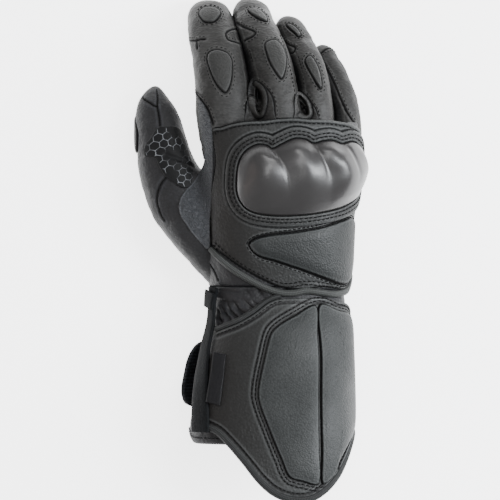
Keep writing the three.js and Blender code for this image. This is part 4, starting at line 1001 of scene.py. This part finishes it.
# The pits between the finger roots, where the side leather folds in.
PITS = {"middle": [(2.9, 106.6), (4.6, 106), (7, 102.6), (7.7, 98.5), (7.6, 94.5), (6.6, 90.8), (4.9, 89.2),
    (3.9, 90.4), (3.0, 93.5), (2.7, 97), (2.4, 101.5)], "ring": [(31.2, 101.5), (33.5, 100.3), (35.6, 97.3),
    (37.2, 93), (37.6, 89), (35.5, 88.3), (33, 90), (31, 93.5), (30.2, 97.5)]}
pad_rims = {name: (skin, on(digits[skin], outline, True, 240))
    for name, (skin, outline) in FINGER_PADS.items()}
THUMB_PAD = dict(across=-19.0, back=30.0, width=14.0, length=25.0)
turn = np.linspace(0, 2 * np.pi, 200)
pad_rims["thumb_knuckle_pad"] = ("thumb", np.column_stack([THUMB_PAD["across"]
    + THUMB_PAD["width"] / 2 * np.cos(turn), THUMB_PAD["back"] + THUMB_PAD["length"] / 2 * np.sin(turn)]))
GRIP_RIM = [(-60.7, 81.2), (-63.4, 78.5), (-66, 73.9), (-69.5, 69.3), (-70.4, 65), (-69.5, 61.7),
    (-63.4, 60.7), (-60.7, 55.4), (-58, 50.8), (-55.4, 47.5), (-50.2, 43.6), (-44.9, 40.6), (-39.5, 42),
    (-36, 46.2), (-34.9, 50.2), (-37, 54.5), (-39.8, 59.4), (-41.8, 66), (-44.3, 73.3), (-47, 79.2),
    (-50.4, 81.6), (-56.8, 81.4)]
grip_rim = on(digits["thumb"], GRIP_RIM, True, 300)
pinch_line = on(digits["thumb"], [(-56, 62.5), (-50, 60.5), (-45, 58.5), (-39.5, 55.5)], count=60)


def pinch(a, b):
    """The crease where the thumb bends: a soft groove along a line on the thumb."""
    gap, _ = from_line(a, b, pinch_line, reach=12)
    return 1.0 * bell(gap, 1.6)


def digit_skin(name, material, slot, step=0.65, press_from=None):
    """A closed tube from the tip's pole to the root inside the hand, with seams, folds and pad beds."""
    digit = digits[name]
    back = digit.length * np.linspace(0, 1, int(digit.length / step)) ** 1.12
    columns = 130
    angle = np.linspace(-np.pi, np.pi, columns + 1)[:-1]
    _, _, _, width, height = digit.at(np.maximum(back, digit.nose))
    a = angle[None] * (width + height)[:, None] / 2
    b = np.broadcast_to(back[:, None], a.shape)
    seams = [(on(digit, points), {}) for points in FINGER_SEAMS[name]]
    for side in (-1, 1):
        run = np.linspace(9, digit.length, 120)
        _, _, _, w, h = digit.at(np.maximum(run, digit.nose))
        seams.append((np.column_stack([side * 1.75 * (w + h) / 2, run]), dict(depth=0.6)))
    lift, rub = relief(a, b, seams)
    for key, (host, rim) in pad_rims.items():
        if host == name:
            distance, _ = from_line(a, b, rim)
            within = inside(a, b, rim)
            bed = bell(distance, 0.5)
            rise = bell(distance - 1.5, 0.8) * ~within
            lift = np.where(within, np.minimum(lift, -0.4), lift + 0.14 * rise - 0.5 * bed)
            # Under a pad and in the bed at its rim the leather is painted dark, as shade; a ring just outside
            # is paler.
            rub = np.where(within, -0.5, rub + 0.35 * rise - 1.4 * bed)
    if name in PITS:
        rim = on(digit, PITS[name], True)
        distance, _ = from_line(a, b, rim)
        within = inside(a, b, rim)
        lift -= np.where(within, 6.0 * fade(distance, -0.5, 2.0), 0)
        # The pit is painted near black, as shade in the recess.
        rub = np.where(within, -1.0, rub)
    # Painted shade: where a finger's side wall meets its neighbour, the side is painted dark as the shade in
    # the gap, below a thin paler line.
    for side, wall in zip((-1, 1), digit.sides):
        turned = angle[None] * side
        if wall:
            rub = rub - 1.2 * fade(turned, 1.22, 1.5) * fade(b, 10, 24) + 0.4 * bell(turned - 1.14, 0.05)
    fold = np.minimum(0, noise(a * 0.35, b, 5.5, 2.0 + digit.nose)) * 0.8 + 0.3 * noise(a, b, 4, digit.nose)
    lift += fold * fade(b, 6, 20) * 0.6 - 0.12 + digit.fullness(angle[None], b)
    if name == "thumb":
        lift += 5.0 * bell(a - 30, 12) * bell(b - 79, 13) - pinch(a, b)
    grid = digit.place(a, b, lift * fade(b, 0, 3))
    if press_from:
        grid = digits[press_from].press(grid, 0.4)
    grid[..., 2] = np.maximum(grid[..., 2], 0.0)
    end = np.broadcast_to(grid[-1].mean(0), grid[-1].shape)
    tip = np.broadcast_to(grid[0].mean(0), grid[0].shape)
    node = "thumb" if name == "thumb" else "finger_" + name
    full = np.concatenate([tip[None], grid[1:], end[None]])
    shine = np.concatenate([rub, rub[-1:]])
    return make_piece(f"{name}_leather", full, material, slot, (node,), rub=shine)


digit_skin("index", FINGER_HIDE, "leather")
digit_skin("middle", FINGER_HIDE, "leather", press_from="index")
digit_skin("ring", FINGER_HIDE, "leather", press_from="middle")
digit_skin("little", FINGER_HIDE, "leather", press_from="ring")
digit_skin("thumb", DARK_HIDE, "dark_leather", step=0.7)


def cover(skin, across, along, lift):
    """Points of a skin at a lift, on a close grid of places."""
    a, b = np.meshgrid(np.arange(*across, 0.2), np.arange(*along, 0.2))
    if skin is not trunk:
        _, _, _, width, height = skin.at(np.maximum(b, skin.nose))
        lift = lift + skin.fullness(2 * a / (width + height), b)
    return skin.place(a, b, lift).reshape(-1, 3)


def spanned(low, high, skins, rounds):
    """The height of a leather that is pulled taut over several skins, as a function of x and y.

    It starts as the largest of the skins' heights. It is averaged with its neighbours again and again, and
    never falls below them, so that it spans the dips between them as a stretched skin does.
    """
    columns, rows = int((high[0] - low[0]) * CELLS) + 1, int((high[1] - low[1]) * CELLS) + 1
    under = np.zeros((rows, columns))
    for points in skins:
        i = np.round((points[:, 1] - low[1]) * CELLS).astype(int)
        j = np.round((points[:, 0] - low[0]) * CELLS).astype(int)
        seen = (i >= 0) & (i < rows) & (j >= 0) & (j < columns)
        np.maximum.at(under, (i[seen], j[seen]), points[seen, 2])
    taut = under.copy()
    for _ in range(rounds):
        wide = np.pad(taut, 1, mode="edge")
        taut = np.maximum(under, (wide[:-2, 1:-1] + wide[2:, 1:-1] + wide[1:-1, :-2] + wide[1:-1, 2:]) / 4)

    def height(x, y):
        u, v = np.clip((x - low[0]) * CELLS, 0, columns - 1.001), np.clip((y - low[1]) * CELLS, 0,
            rows - 1.001)
        u0, v0 = u.astype(int), v.astype(int)
        fu, fv = u - u0, v - v0
        near = taut[v0, u0] * (1 - fu) + taut[v0, u0 + 1] * fu
        return near * (1 - fv) + (taut[v0 + 1, u0] * (1 - fu) + taut[v0 + 1, u0 + 1] * fu) * fv

    return height


def gusset(name, outline, lip_line, pit_line, fold_line, spine, hosts, wide):
    """The side leather between two finger roots: a spanned skin with a folded lip around a pit.

    Its height is the spanned one, plus a bell curve across the lip's line that fades along it, less a groove
    outside the lip, and it drops by 7 mm inside the lip, apart from one inner fold.
    """
    height = spanned((-8, 78), (50, 114), [cover(digits[host], (-40, 40), (30, digits[host].length), 0.1)
        for host in hosts], 90)
    rim = smooth_line(outline, True, 300)
    places, _ = patch(rim, spine, 130, 28)
    x, y = places[..., 0], places[..., 1]
    distance, _ = from_line(x, y, rim, reach=60)
    away, along = from_line(x, y, smooth_line(lip_line, count=160), reach=60)
    pit = smooth_line(pit_line, True, 200)
    within = inside(x, y, pit)
    deep, _ = from_line(x, y, pit, reach=60)
    fold, _ = from_line(x, y, smooth_line(fold_line, count=60), reach=60)
    radius = 0.9 + wide * bell(along - 5, 6)
    lip = bell(away, radius) * (0.3 + 0.7 * bell(along - 8, 9))
    groove = bell(away - radius - 1.0, 0.45) * ~within
    inner = 4.5 * bell(fold, 0.9)
    drop = np.where(within, (7.5 - inner) * fade(deep, -0.4, 1.8), 0)
    waves = 0.22 * noise(x * 0.3, y, 1.7, 4.0) * ~within * fade(distance, 0.3, 1.5)
    z = height(x, y) + 0.15 + 0.5 * rounded(distance, 0.9) + 1.2 * lip - 0.8 * groove - drop + waves
    # Painted light and shade: the lip is paler; the groove, the pit, the rim and the top corner under the
    # index finger are painted darker, as shade.
    shine = 0.4 * lip - 1.1 * groove - np.where(within, (0.85 - 0.2 * inner) * fade(deep, 0.1, 1.6), 0)
    shine -= 1.2 * bell(distance, 0.4) + 0.9 * fade(y, 100, 104) * fade(3.0 - x, 0, 2)
    upper = np.stack([x, y, z], -1)
    lower = (upper - [0, 0, 1.0])[:, sparse(x.shape[1])[::-1]]
    make_piece(name, np.concatenate([upper, lower], axis=1), FINGER_HIDE, "leather",
        rub=np.concatenate([shine, lower[..., 0] * 0], axis=1))


gusset("index_middle_gusset", [(-3.5, 83.5), (-3.2, 91), (-2.7, 96), (-2.2, 100), (-2, 104), (-1.2, 109),
    (1, 112.5), (4.5, 109.8), (7.8, 107.3), (12.4, 102), (14.4, 97), (15.2, 90), (15.2, 83.5)],
    [(0.0, 98.8), (0.8, 96), (1.8, 92.5), (3.0, 89.2), (4.7, 87.6), (6.5, 88), (7.6, 90.5), (8.6, 94.5),
    (8.9, 98.5), (8, 103), (5.8, 106.6), (2.8, 108.6)], PITS["middle"],
    [(2.6, 98.5), (4.4, 95.5), (6.4, 93.6), (7.6, 91)], [(6, 90), (5, 103)], ("index", "middle"), 1.0)
gusset("middle_ring_gusset", [(28.6, 83.5), (28.4, 90), (28.4, 96), (29, 101), (30.7, 104), (35, 101.8),
    (39.6, 96), (42.9, 90.4), (43.3, 83.5)], [(32.4, 88), (34.4, 87.1), (36.6, 87), (38.2, 89), (38, 93),
    (36.6, 97.5), (34.2, 100.9), (31.5, 102.4)], PITS["ring"], [(31, 98.5), (33.2, 97.2), (35.2, 94.6)],
    [(35.5, 89), (33, 97)], ("middle", "ring"), 0.3)


def thumb_side():
    """The leather between the thumb and the back panel, spanned over the dip where the tubes meet."""
    skins = [cover(trunk, (-60, 60), (-26, 80), 1.0), cover(digits["thumb"], (-40, 40),
        (20, digits["thumb"].length), 0.2), cover(digits["index"], (-40, 40), (40, digits["index"].length),
        0.1)]
    height = spanned((-56, -26), (-16, 102), skins, 160)
    rim = smooth_line(SIDE_RIM, True, 500)
    places, _ = patch(rim, [(-29.6, 86), (-31, 10)], 220, 26)
    x, y = places[..., 0], places[..., 1]
    distance, _ = from_line(x, y, rim, reach=60)
    folds = 0.35 * noise(x + 0.5 * y, y * 0.35, 5, 3.3) * fade(distance, 1, 5)
    z = height(x, y) + 0.1 + 0.5 * rounded(distance, 1.0) + folds
    upper = np.stack([x, y, z], -1)
    lower = np.stack([x, y, height(x, y) - 1.0], -1)[:, sparse(x.shape[1])[::-1]]
    left = fade(-x, 31, 35) * (y < 48)
    # Its rim is painted dark as shade, more so along the side next to the back panel, with a paler line along
    # its left edge.
    shine = 0.55 * left * bell(distance - 0.7, 0.4) - (0.4 + 0.8 * (x > -30)) * bell(distance, 0.4)
    shine = np.concatenate([shine, lower[..., 0] * 0], axis=1)
    make_piece("thumb_side_leather", np.concatenate([upper, lower], axis=1), SIDE_HIDE, "dark_leather",
        rub=shine)


SIDE_RIM = [(-34.4, 98.5), (-31.4, 95.8), (-28.6, 91), (-26.8, 86), (-25.6, 80), (-25, 74), (-24.8, 68),
    (-24.8, 60), (-24.9, 50), (-25.6, 40), (-26, 30), (-26.8, 20), (-26.9, 10), (-27, 2), (-29, 0.5),
    (-32, 3.5), (-36, 8), (-40, 12.8), (-43, 17.5), (-45.9, 21.8), (-47.5, 27.7), (-46.2, 34.3),
    (-42.2, 40.3), (-39.5, 43), (-36.5, 47), (-33.4, 52), (-31.4, 56), (-30.6, 60), (-30.8, 66), (-32, 73),
    (-33.4, 80), (-34.4, 88)]
thumb_side()


def finger_pad(name):
    """A low foam dome under leather, steep at its sewn rim and almost flat on top."""
    host, rim = pad_rims[name]
    centre = rim[:-1].mean(0)
    reach = np.ptp(rim[:, 1]) * 0.2
    spine = [centre - [0, reach], centre + [0, reach]]

    def top(a, b, share, distance):
        height = -0.2 + 0.8 * rounded(distance - 0.3, 0.9) + 0.5 * (1 - (1 - np.clip(share * 1.3, 0, 1)) ** 2)
        # The rim is painted dark, as shade in the seam, with a paler band just inside it.
        return height, 0.3 * bell(distance - 1.1, 0.5) - 1.3 * bell(distance, 0.4)

    sewn_on(name + "_dome", digits[host], rim, spine, -0.6, top, DOT_HIDE, "pad_leather", 90, 22,
        stands_for=(name,), fill=0.8)


for pad_name in pad_rims:
    finger_pad(pad_name)


def grip_print():
    """Screen-printed silicone on suede: a black ground with pale hexagon outlines that follow the leather."""
    material, tree, shader = new_material("printed silicone grip")
    mark = add(tree, "Attribute", "Fac", attribute_name="rub")
    coords = add(tree, "TexCoord", "Object")
    nap = add(tree, "TexNoise", "Fac", {"Scale": MM / 0.8, "Detail": 4.0}, {"Vector": coords})
    ground = add(tree, "Mix", "Result", {"A": srgb("#030304"), "B": srgb("#0e0f10")}, {"Factor": nap},
        data_type="RGBA")
    share = add(tree, "MapRange", "Result", {"From Min": 0.1, "From Max": 0.8}, {"Value": mark})
    base = add(tree, "Mix", "Result", {"B": srgb("#85888c")}, {"Factor": share, "A": ground},
        data_type="RGBA")
    tree.links.new(base, shader.inputs["Base Color"])
    bump = add(tree, "Bump", "Normal", {"Strength": 0.4, "Distance": 0.0004}, {"Height": nap})
    tree.links.new(bump, shader.inputs["Normal"])
    shader.inputs["Roughness"].default_value = 0.6
    shader.inputs["Specular IOR Level"].default_value = 0.2
    return material


def thumb_grip():
    """The grip patch, whose hexagon lines lie where two of the nearest cell centres are equally far."""

    def top(a, b, share, distance):
        size = 5.0
        u, v = a / size, b / (size * ROW_PITCH)
        best = np.full(a.shape, 9.0)
        second = np.full(a.shape, 9.0)
        for row_shift in (-1, 0, 1):
            row = np.round(v) + row_shift
            offset = 0.5 * (row % 2)
            for step in (-1, 0, 1):
                cell = np.round(u - offset) + step + offset
                d = np.hypot(u - cell, (v - row) * ROW_PITCH)
                second = np.minimum(second, np.maximum(best, d))
                best = np.minimum(best, d)
        # The print's lines are patchy from wear, and are dimmed by half towards the right side of the patch,
        # as painted shade.
        worn = fade(noise(a, b, 7, 2.2), -0.6, 0.5) * (1 - 0.5 * fade(a, 9, 18))
        line = bell(second - best, 0.065) * fade(distance, 0.5, 1.4) * (0.22 + 0.78 * worn)
        return 0.3 + 0.6 * rounded(distance, 0.8) + 0.25 * line - pinch(a, b), line - 0.1

    digit = digits["thumb"]
    spine = digit.find([(-56, 66), (-48, 54)])
    sewn_on("thumb_grip_print", digit, grip_rim, spine, 0.05, top, grip_print(), "grip_print", 160, 56,
        stands_for=("thumb_grip_patch",))


thumb_grip()

# Back of the hand.

def knuckle_part(line, low=74.0):
    """The stretch of the panel's outline that runs over the knuckles."""
    ring = np.roll(line[:-1], -line[:-1, 1].argmin(), axis=0)
    return ring[ring[:, 1] > low]


panel_seams = [(outward(guard_rim, 7.4), dict(depth=0.7, width=0.8, lip=0.2)),
    (outward(pad_rim, 0.5), dict(depth=0.6, width=0.7, lip=0.2))]


def panel_top(a, b, share, distance):
    """A sewn leather panel: rounded edge, a sunk stitch line beside it, and soft waves."""
    low, high = LAYER_1
    lift, rub = relief(a, b, panel_seams)
    edge = rounded(distance, 0.7)
    from_top, _ = from_line(a, b, knuckle_part(panel_rim, 78.7), reach=12)
    knuckles = fade(b, 72, 77)
    line = bell(from_top - 2.7, 0.6)
    pucker = 1 + 0.35 * np.cos(2 * np.pi * a / 3.1) * noise(a, b, 5, 2.9)
    brow = bell(from_top - 1.2, 0.9) * pucker
    lift = low + (high - low) * edge + np.minimum(lift, 0.3) - 0.3 * line + 0.5 * brow
    lift += 0.22 * (noise(a, b, 12, 9.1) - 0.6)
    # The raised brow is paler and the stitch line darker; the rim is painted dark as shade at the seam, less
    # so over the knuckles.
    rub = rub + 0.5 * brow - 0.5 * line - 1.0 * bell(distance, 0.5) * (1 - 0.6 * knuckles)
    return np.maximum(lift, 0.1), rub


sewn_on("back_panel_leather", trunk, panel_rim, trunk.find([(20, 62), (22, 4)]), 0.05, panel_top, BACK_HIDE,
    "leather", 215, 68, stands_for=("back_panel",))


def surround():
    """A soft padded ring around the guard: a rounded swell with two sunk stitch rows."""
    across = np.linspace(0.2, 7.2, 34)
    side = np.concatenate([across, [7.3, 7.3, 0.2]])
    swell = 1.9 * np.sin(np.pi * np.clip((across - 0.2) / 8.6, 0, 1)) ** 0.45
    rows = bell(across - 2.4, 0.45) + bell(across - 4.7, 0.45)
    rims = bell(across - 0.9, 0.5) + 0.6 * bell(across - 6.6, 0.6)
    lift = np.concatenate([LAYER_2 + swell - 0.22 * rows + 0.15 * rims, [LAYER_2 + 0.2, LAYER_2, LAYER_2]])
    # Paler on the rims and darker at the stitch rows; the inner edge beside the guard and the underside are
    # painted dark, as shade.
    shine = np.concatenate([0.5 * rims - 0.35 * rows - 1.2 * bell(across - 0.2, 0.4), [-1, -1, -1]])
    profile = np.column_stack([winding(guard_rim) * side, lift])
    band("guard_surround_ring", trunk, guard_rim[:-1], profile, BACK_HIDE, "leather", closed=True,
        stands_for=("guard_surround",), rub=shine, fill=0.6)


surround()

KNUCKLE_WIDTHS = (11.0, 10.5, 8.5, 6.5)
KNUCKLES = trunk.find([(11, 50), (36, 50), (57.5, 50), (71, 49)])
VALLEYS = [on(trunk, [(14, 67), (17, 61), (21, 54), (23.5, 46), (24, 38)]),
    on(trunk, [(40, 70.5), (43, 63), (46, 56), (47.5, 47), (47.5, 39)]),
    on(trunk, [(59, 70.5), (61.5, 64), (63.5, 57), (64.5, 49), (63.5, 42)])]


def guard_top(a, b, share, distance):
    """A dome that rises steeply from a flat flange, with four rounded ridges that lean over it.

    The ridges fade out towards the wrist, are joined by the fourth root of the sum of their fourth powers,
    and a soft valley parts each two of them.
    """
    dome = 5.2 * (1 - (1 - np.minimum(1, share * 1.2)) ** 2.6)
    lean = 7.0 * fade(b, 48, 72)
    height = np.where(b < 50, bell(b - 50, 15), bell(b - 50, 26))
    ridges = np.zeros(a.shape)
    for (middle, _), width, tall in zip(KNUCKLES, KNUCKLE_WIDTHS, (1.0, 1.0, 0.95, 0.7)):
        ridges += (tall * bell(a + lean - middle, width)) ** 4
    lift = LAYER_2 + 1.4 * rounded(distance, 1.1) + dome + 3.4 * ridges**0.25 * height * fade(distance, 0, 7)
    for valley in VALLEYS:
        gap, along = from_line(a, b, valley, reach=12)
        lift -= 0.6 * bell(gap, 1.6) * np.exp(-((along / 22) ** 4)) * fade(distance, 0.5, 4)
    return lift, np.zeros(a.shape)


sewn_on("knuckle_guard_shell", trunk, guard_rim, trunk.find([(8, 47), (60, 50)]), LAYER_2 + 0.05, guard_top,
    GUARD, "guard_plastic", 200, 48, stands_for=("knuckle_guard",))


def pad_top(a, b, share, distance):
    """A foam pad: a full rounded edge and a low crown, with slight waves in its leather."""
    lift = LAYER_2 + 1.3 * rounded(distance, 1.2) + 1.8 * (1 - (1 - np.minimum(1, share * 1.6)) ** 2)
    lift += 0.12 * noise(a, b, 9, 4.1) * fade(distance, 1, 4)
    # The rim is painted dark, as shade in the seam, with a paler band just inside it.
    return lift, 0.3 * bell(distance - 1.2, 0.7) - 1.4 * bell(distance, 0.5)


sewn_on("metacarpal_pad_dome", trunk, pad_rim, trunk.find([(14, 2), (56, 1)]), LAYER_2, pad_top,
    HAND_PAD_HIDE, "pad_leather", 170, 36, stands_for=("metacarpal_pad",), fill=0.7)

# Gauntlet.

rows, columns = 124, 156
top_edge, hem_edge = evenly(cuff_top, columns), evenly(hem, columns)
left_edge = evenly(gauntlet_left, rows)
t = np.linspace(0, 1, rows)[:, None]
across = np.linspace(0, 1, columns)[None]
sheet = top_edge[None] * (1 - t[..., None]) + hem_edge[None] * t[..., None]
drift = ((1 - across) ** 6 * np.sin(np.pi * t))[..., None]
sheet = sheet * (1 - drift) + left_edge[:, None] * drift

plate_rows = [outward(both_plates, shift) for shift in (2.2, 4.4)]
gauntlet_seams = [(line, dict(depth=0.3, width=0.5, lip=0.12)) for line in plate_rows]
gauntlet_seams += [(outward(both_plates, 0.3), dict(depth=0.5, width=0.6, lip=0.0)),
    (beside(hem, -2.0), dict(depth=0.4, width=0.7, lip=0.3)), (beside(cuff_top, 2.6),
    dict(depth=0.4, width=0.6, lip=0.2))]


def gauntlet():
    """The stiff leather flap of the cuff, laid over the inner cuff from its top seam to its hem."""
    a, b = sheet[..., 0], sheet[..., 1]
    lift, rub = relief(a, b, gauntlet_seams)
    over_plates = inside(a, b, plate_left) | inside(a, b, plate_right)
    lift = np.where(over_plates, -0.2, lift + 0.15 * noise(a, b, 13, 7.7) - 0.1)
    upper = trunk.place(a, b, GAUNTLET_LIFT[1] + np.clip(lift, -1.2, 0.3))
    lower = trunk.place(a, b, np.full(a.shape, GAUNTLET_LIFT[0]))[:, ::-1]
    shine = np.concatenate([rub, rub[:, ::-1] * 0], axis=1)
    make_piece("gauntlet_leather", np.concatenate([upper, lower], axis=1), BACK_HIDE, "leather",
        ("cuff_gauntlet",), rub=shine, shut="sheet")


gauntlet()


def plate_top(a, b, share, distance):
    """A padded facet of the cuff plate: a crisp bevelled rim, then a crown that is almost flat."""
    lift = PLATE_LIFT + 1.7 * rounded(distance, 0.9) + 0.9 * (1 - (1 - np.minimum(1, share * 2)) ** 2)
    # A paler band lies just inside the rim; the rim itself is painted dark, as shade in the seam.
    shine = 0.35 * bell(distance - 1.1, 0.6) - 1.4 * bell(distance, 0.5)
    return lift + 0.1 * noise(a, b, 12, 5.5), shine


for side_name, rim, spine in (("inner", plate_left, [(28, -60), (31, -132)]),
        ("outer", plate_right, [(57, -58), (56, -125)])):
    sewn_on(f"cuff_plate_{side_name}_pad", trunk, rim, trunk.find(spine), PLATE_LIFT, plate_top, PAD_HIDE,
        "pad_leather", 170, 34, stands_for=(f"cuff_plate_{side_name}",), fill=0.8)

band("wrist_piping_bead", trunk, wrist_line, bead(4.6, 0.3, 2.8), PIPING, "piping",
    stands_for=("wrist_piping",))
band("cuff_top_piping_bead", trunk, beside(cuff_top[:168], -1.9), bead(3.4, 0.3, 2.7), BINDING, "piping",
    stands_for=("cuff_top_piping",))
band("hem_binding_bead", trunk, beside(hem, 1.4), bead(5.4, 0.2, 3.1), BINDING, "piping",
    stands_for=("cuff_hem_binding",))

# Straps and label.


def strap(name, line, width, swell, base, thick, material, slot, node):
    """A flat strap with rounded edges, which grows wider along its length."""
    t = np.linspace(0, 1, len(line))[:, None]
    shape = np.array([(-0.5, 0), (-0.5, 0.4), (-0.47, 0.8), (-0.4, 1), (-0.2, 0.93), (0, 0.9), (0.2, 0.93),
        (0.4, 1), (0.47, 0.8), (0.5, 0.4), (0.5, 0)])
    side = shape[None, :, 0] * (width + swell * fade(t, 0.1, 0.9))
    profile = np.stack([side, np.broadcast_to(base + thick * shape[:, 1], side.shape)], -1)
    band(name, trunk, line, profile, material, slot, stands_for=(node,))


strap("side_strap_leather", beside(strap_line, -0.8), 6.6, 7.6, 2.5, 1.9, STRAP_HIDE, "webbing", "side_strap")
strap("strap_keeper_loop", keeper_line, 8.4, 0.4, 4.6, 1.5, STRAP_HIDE, "leather", "strap_keeper")


def label():
    """A bare woven tape, folded double and sewn in: a thin plate between four corners."""
    corners = trunk.seen(LABEL, 4.5)
    t, s = np.linspace(0, 1, 60)[:, None, None], np.linspace(0, 1, 14)[None, :, None]
    places = (corners[0] * (1 - s) + corners[1] * s) * (1 - t) + (corners[3] * (1 - s) + corners[2] * s) * t
    a, b = places[..., 0], places[..., 1]
    wave = 0.35 * np.sin(2.4 * np.pi * t[..., 0]) * s[..., 0]
    slope = 4.6 - 2.2 * s[..., 0] + 0.4 * wave
    upper = trunk.place(a, b, slope + 0.8)
    lower = trunk.place(a, b, slope)[:, ::-1]
    lay = np.concatenate([places, places[:, ::-1]], axis=1)
    make_piece("label_tape", np.concatenate([upper, lower], axis=1), TAPE, "webbing", ("side_label",),
        lay=lay, shut=True)


label()

CLOSURE = dict(y=-82.0, length=46.0, reach=9.0, thick=2.0, start=-202.0, end=-96.0)


def closure():
    """The closure strap: it follows the cuff's section under the belly, and its round end bends away."""
    t = np.linspace(0, 1, 84)[:, None]
    turn = np.radians(CLOSURE["start"] + (CLOSURE["end"] - CLOSURE["start"]) * t)
    end = np.maximum(0, (t - 0.62) / 0.38)
    half = CLOSURE["length"] / 2 * np.sqrt(np.maximum(0.02, 1 - end**5))
    away = 0.3 + CLOSURE["reach"] * end**2 * (1.35 - 0.6 * end)
    v = np.linspace(-1, 1, 50)[None]
    y = CLOSURE["y"] + half * v
    inward = np.minimum((1 - np.abs(v)) * half, (1 - t) * 100)
    ribs = 0.25 * np.cos(2 * np.pi * y / 2.6) * fade(inward, 3.5, 4.5)
    edge = (rounded(inward, 1.2) + 0.35 * (1 - fade(inward, 2.6, 3.4)) * fade(inward, 0, 1)
        - 0.3 * bell(inward - 3.6, 0.5))
    upper = trunk.by_turn(turn, y, away + CLOSURE["thick"] * edge + ribs)
    lower = trunk.by_turn(turn, y, away + 0 * v)[:, ::-1]
    around = np.broadcast_to(t * 150, y.shape)
    lay = np.stack([y, around], -1)
    lay = np.concatenate([lay, lay[:, ::-1]], axis=1)
    make_piece("closure_webbing", np.concatenate([upper, lower], axis=1), WEBBING, "webbing",
        ("closure_strap",), lay=lay, shut=True)


closure()

# Sewing.

hand_runs = [(trunk, outward(guard_rim, 2.4), LAYER_2 + 1.75),
    (trunk, outward(guard_rim, 4.7), LAYER_2 + 1.75), (trunk, knuckle_part(outward(panel_rim, -2.7)), 1.55),
    (trunk, outward(pad_rim, 1.9), 1.75), (trunk, beside(wrist_line[:260], -4.2), 1.75),
    (trunk, beside(wrist_line[:260], -6.4), 1.75)]
cuff_runs = [(trunk, line, 2.25) for line in plate_rows]
lower_hem = np.linspace(-165, -45, 200)
lower_hem = np.column_stack([lower_hem, hem_bend(lower_hem, HEM_Y + 4.0)])
cuff_runs += [(trunk, lower_hem, -0.1), (trunk, beside(hem, -2.9), 2.2),
    (trunk, beside(cuff_top[:168], 1.6), 2.2)]
stitches("back_stitches", hand_runs, THREAD, "webbing", thick=0.4)
stitches("cuff_stitches", cuff_runs, THREAD, "webbing", thick=0.4)
digit_runs = []
digit_seams = []
for digit_name, lines in FINGER_SEAMS.items():
    for points in lines:
        line = on(digits[digit_name], points)
        digit_seams.append((digits[digit_name], line, -0.1))
        if digit_name != "thumb":
            digit_runs.append((digits[digit_name], beside(line, 1.9), 0.05))
EDGE_ROWS = {"index": [[(-8, 136.5), (-5.5, 130), (-3.6, 123.5), (-3, 114), (-2.9, 104.5)]],
    "middle": [[(-1.5, 134), (1, 122), (3.2, 113)], [(19, 142), (23.5, 128), (26.5, 115), (29, 100)]],
    "ring": [[(31, 128), (33, 120), (35, 108)]]}
for digit_name, lines in EDGE_ROWS.items():
    digit_runs += [(digits[digit_name], on(digits[digit_name], points), 0.05) for points in lines]
for host, rim in pad_rims.values():
    digit_seams.append((digits[host], rim, -0.1))
    if host != "thumb":
        digit_runs.append((digits[host], outward(rim, 1.8), 0.05))
stitches("finger_stitches", digit_runs, THREAD, "webbing", pitch=2.4, length=1.6, thick=0.3)
panel_joins = [(trunk, panel_rim[panel_rim[:, 0] < 30], 1.2), (trunk, outward(pad_rim, 0.5), 1.6)]
panel_joins += [(trunk, outward(guard_rim, 0.1), LAYER_2 + 1.0), (trunk, on(trunk, THUMB_SEAM), 0.2)]
cuff_joins = [(trunk, rim, PLATE_LIFT + 0.3) for rim in (plate_left, plate_right)]
stitches("seam_threads", digit_seams + panel_joins + cuff_joins, THREAD, "webbing", pitch=1.6, length=2.4,
    thick=0.34)

{"cad": CAD_BOX, "visual": [list(corner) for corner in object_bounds()]}
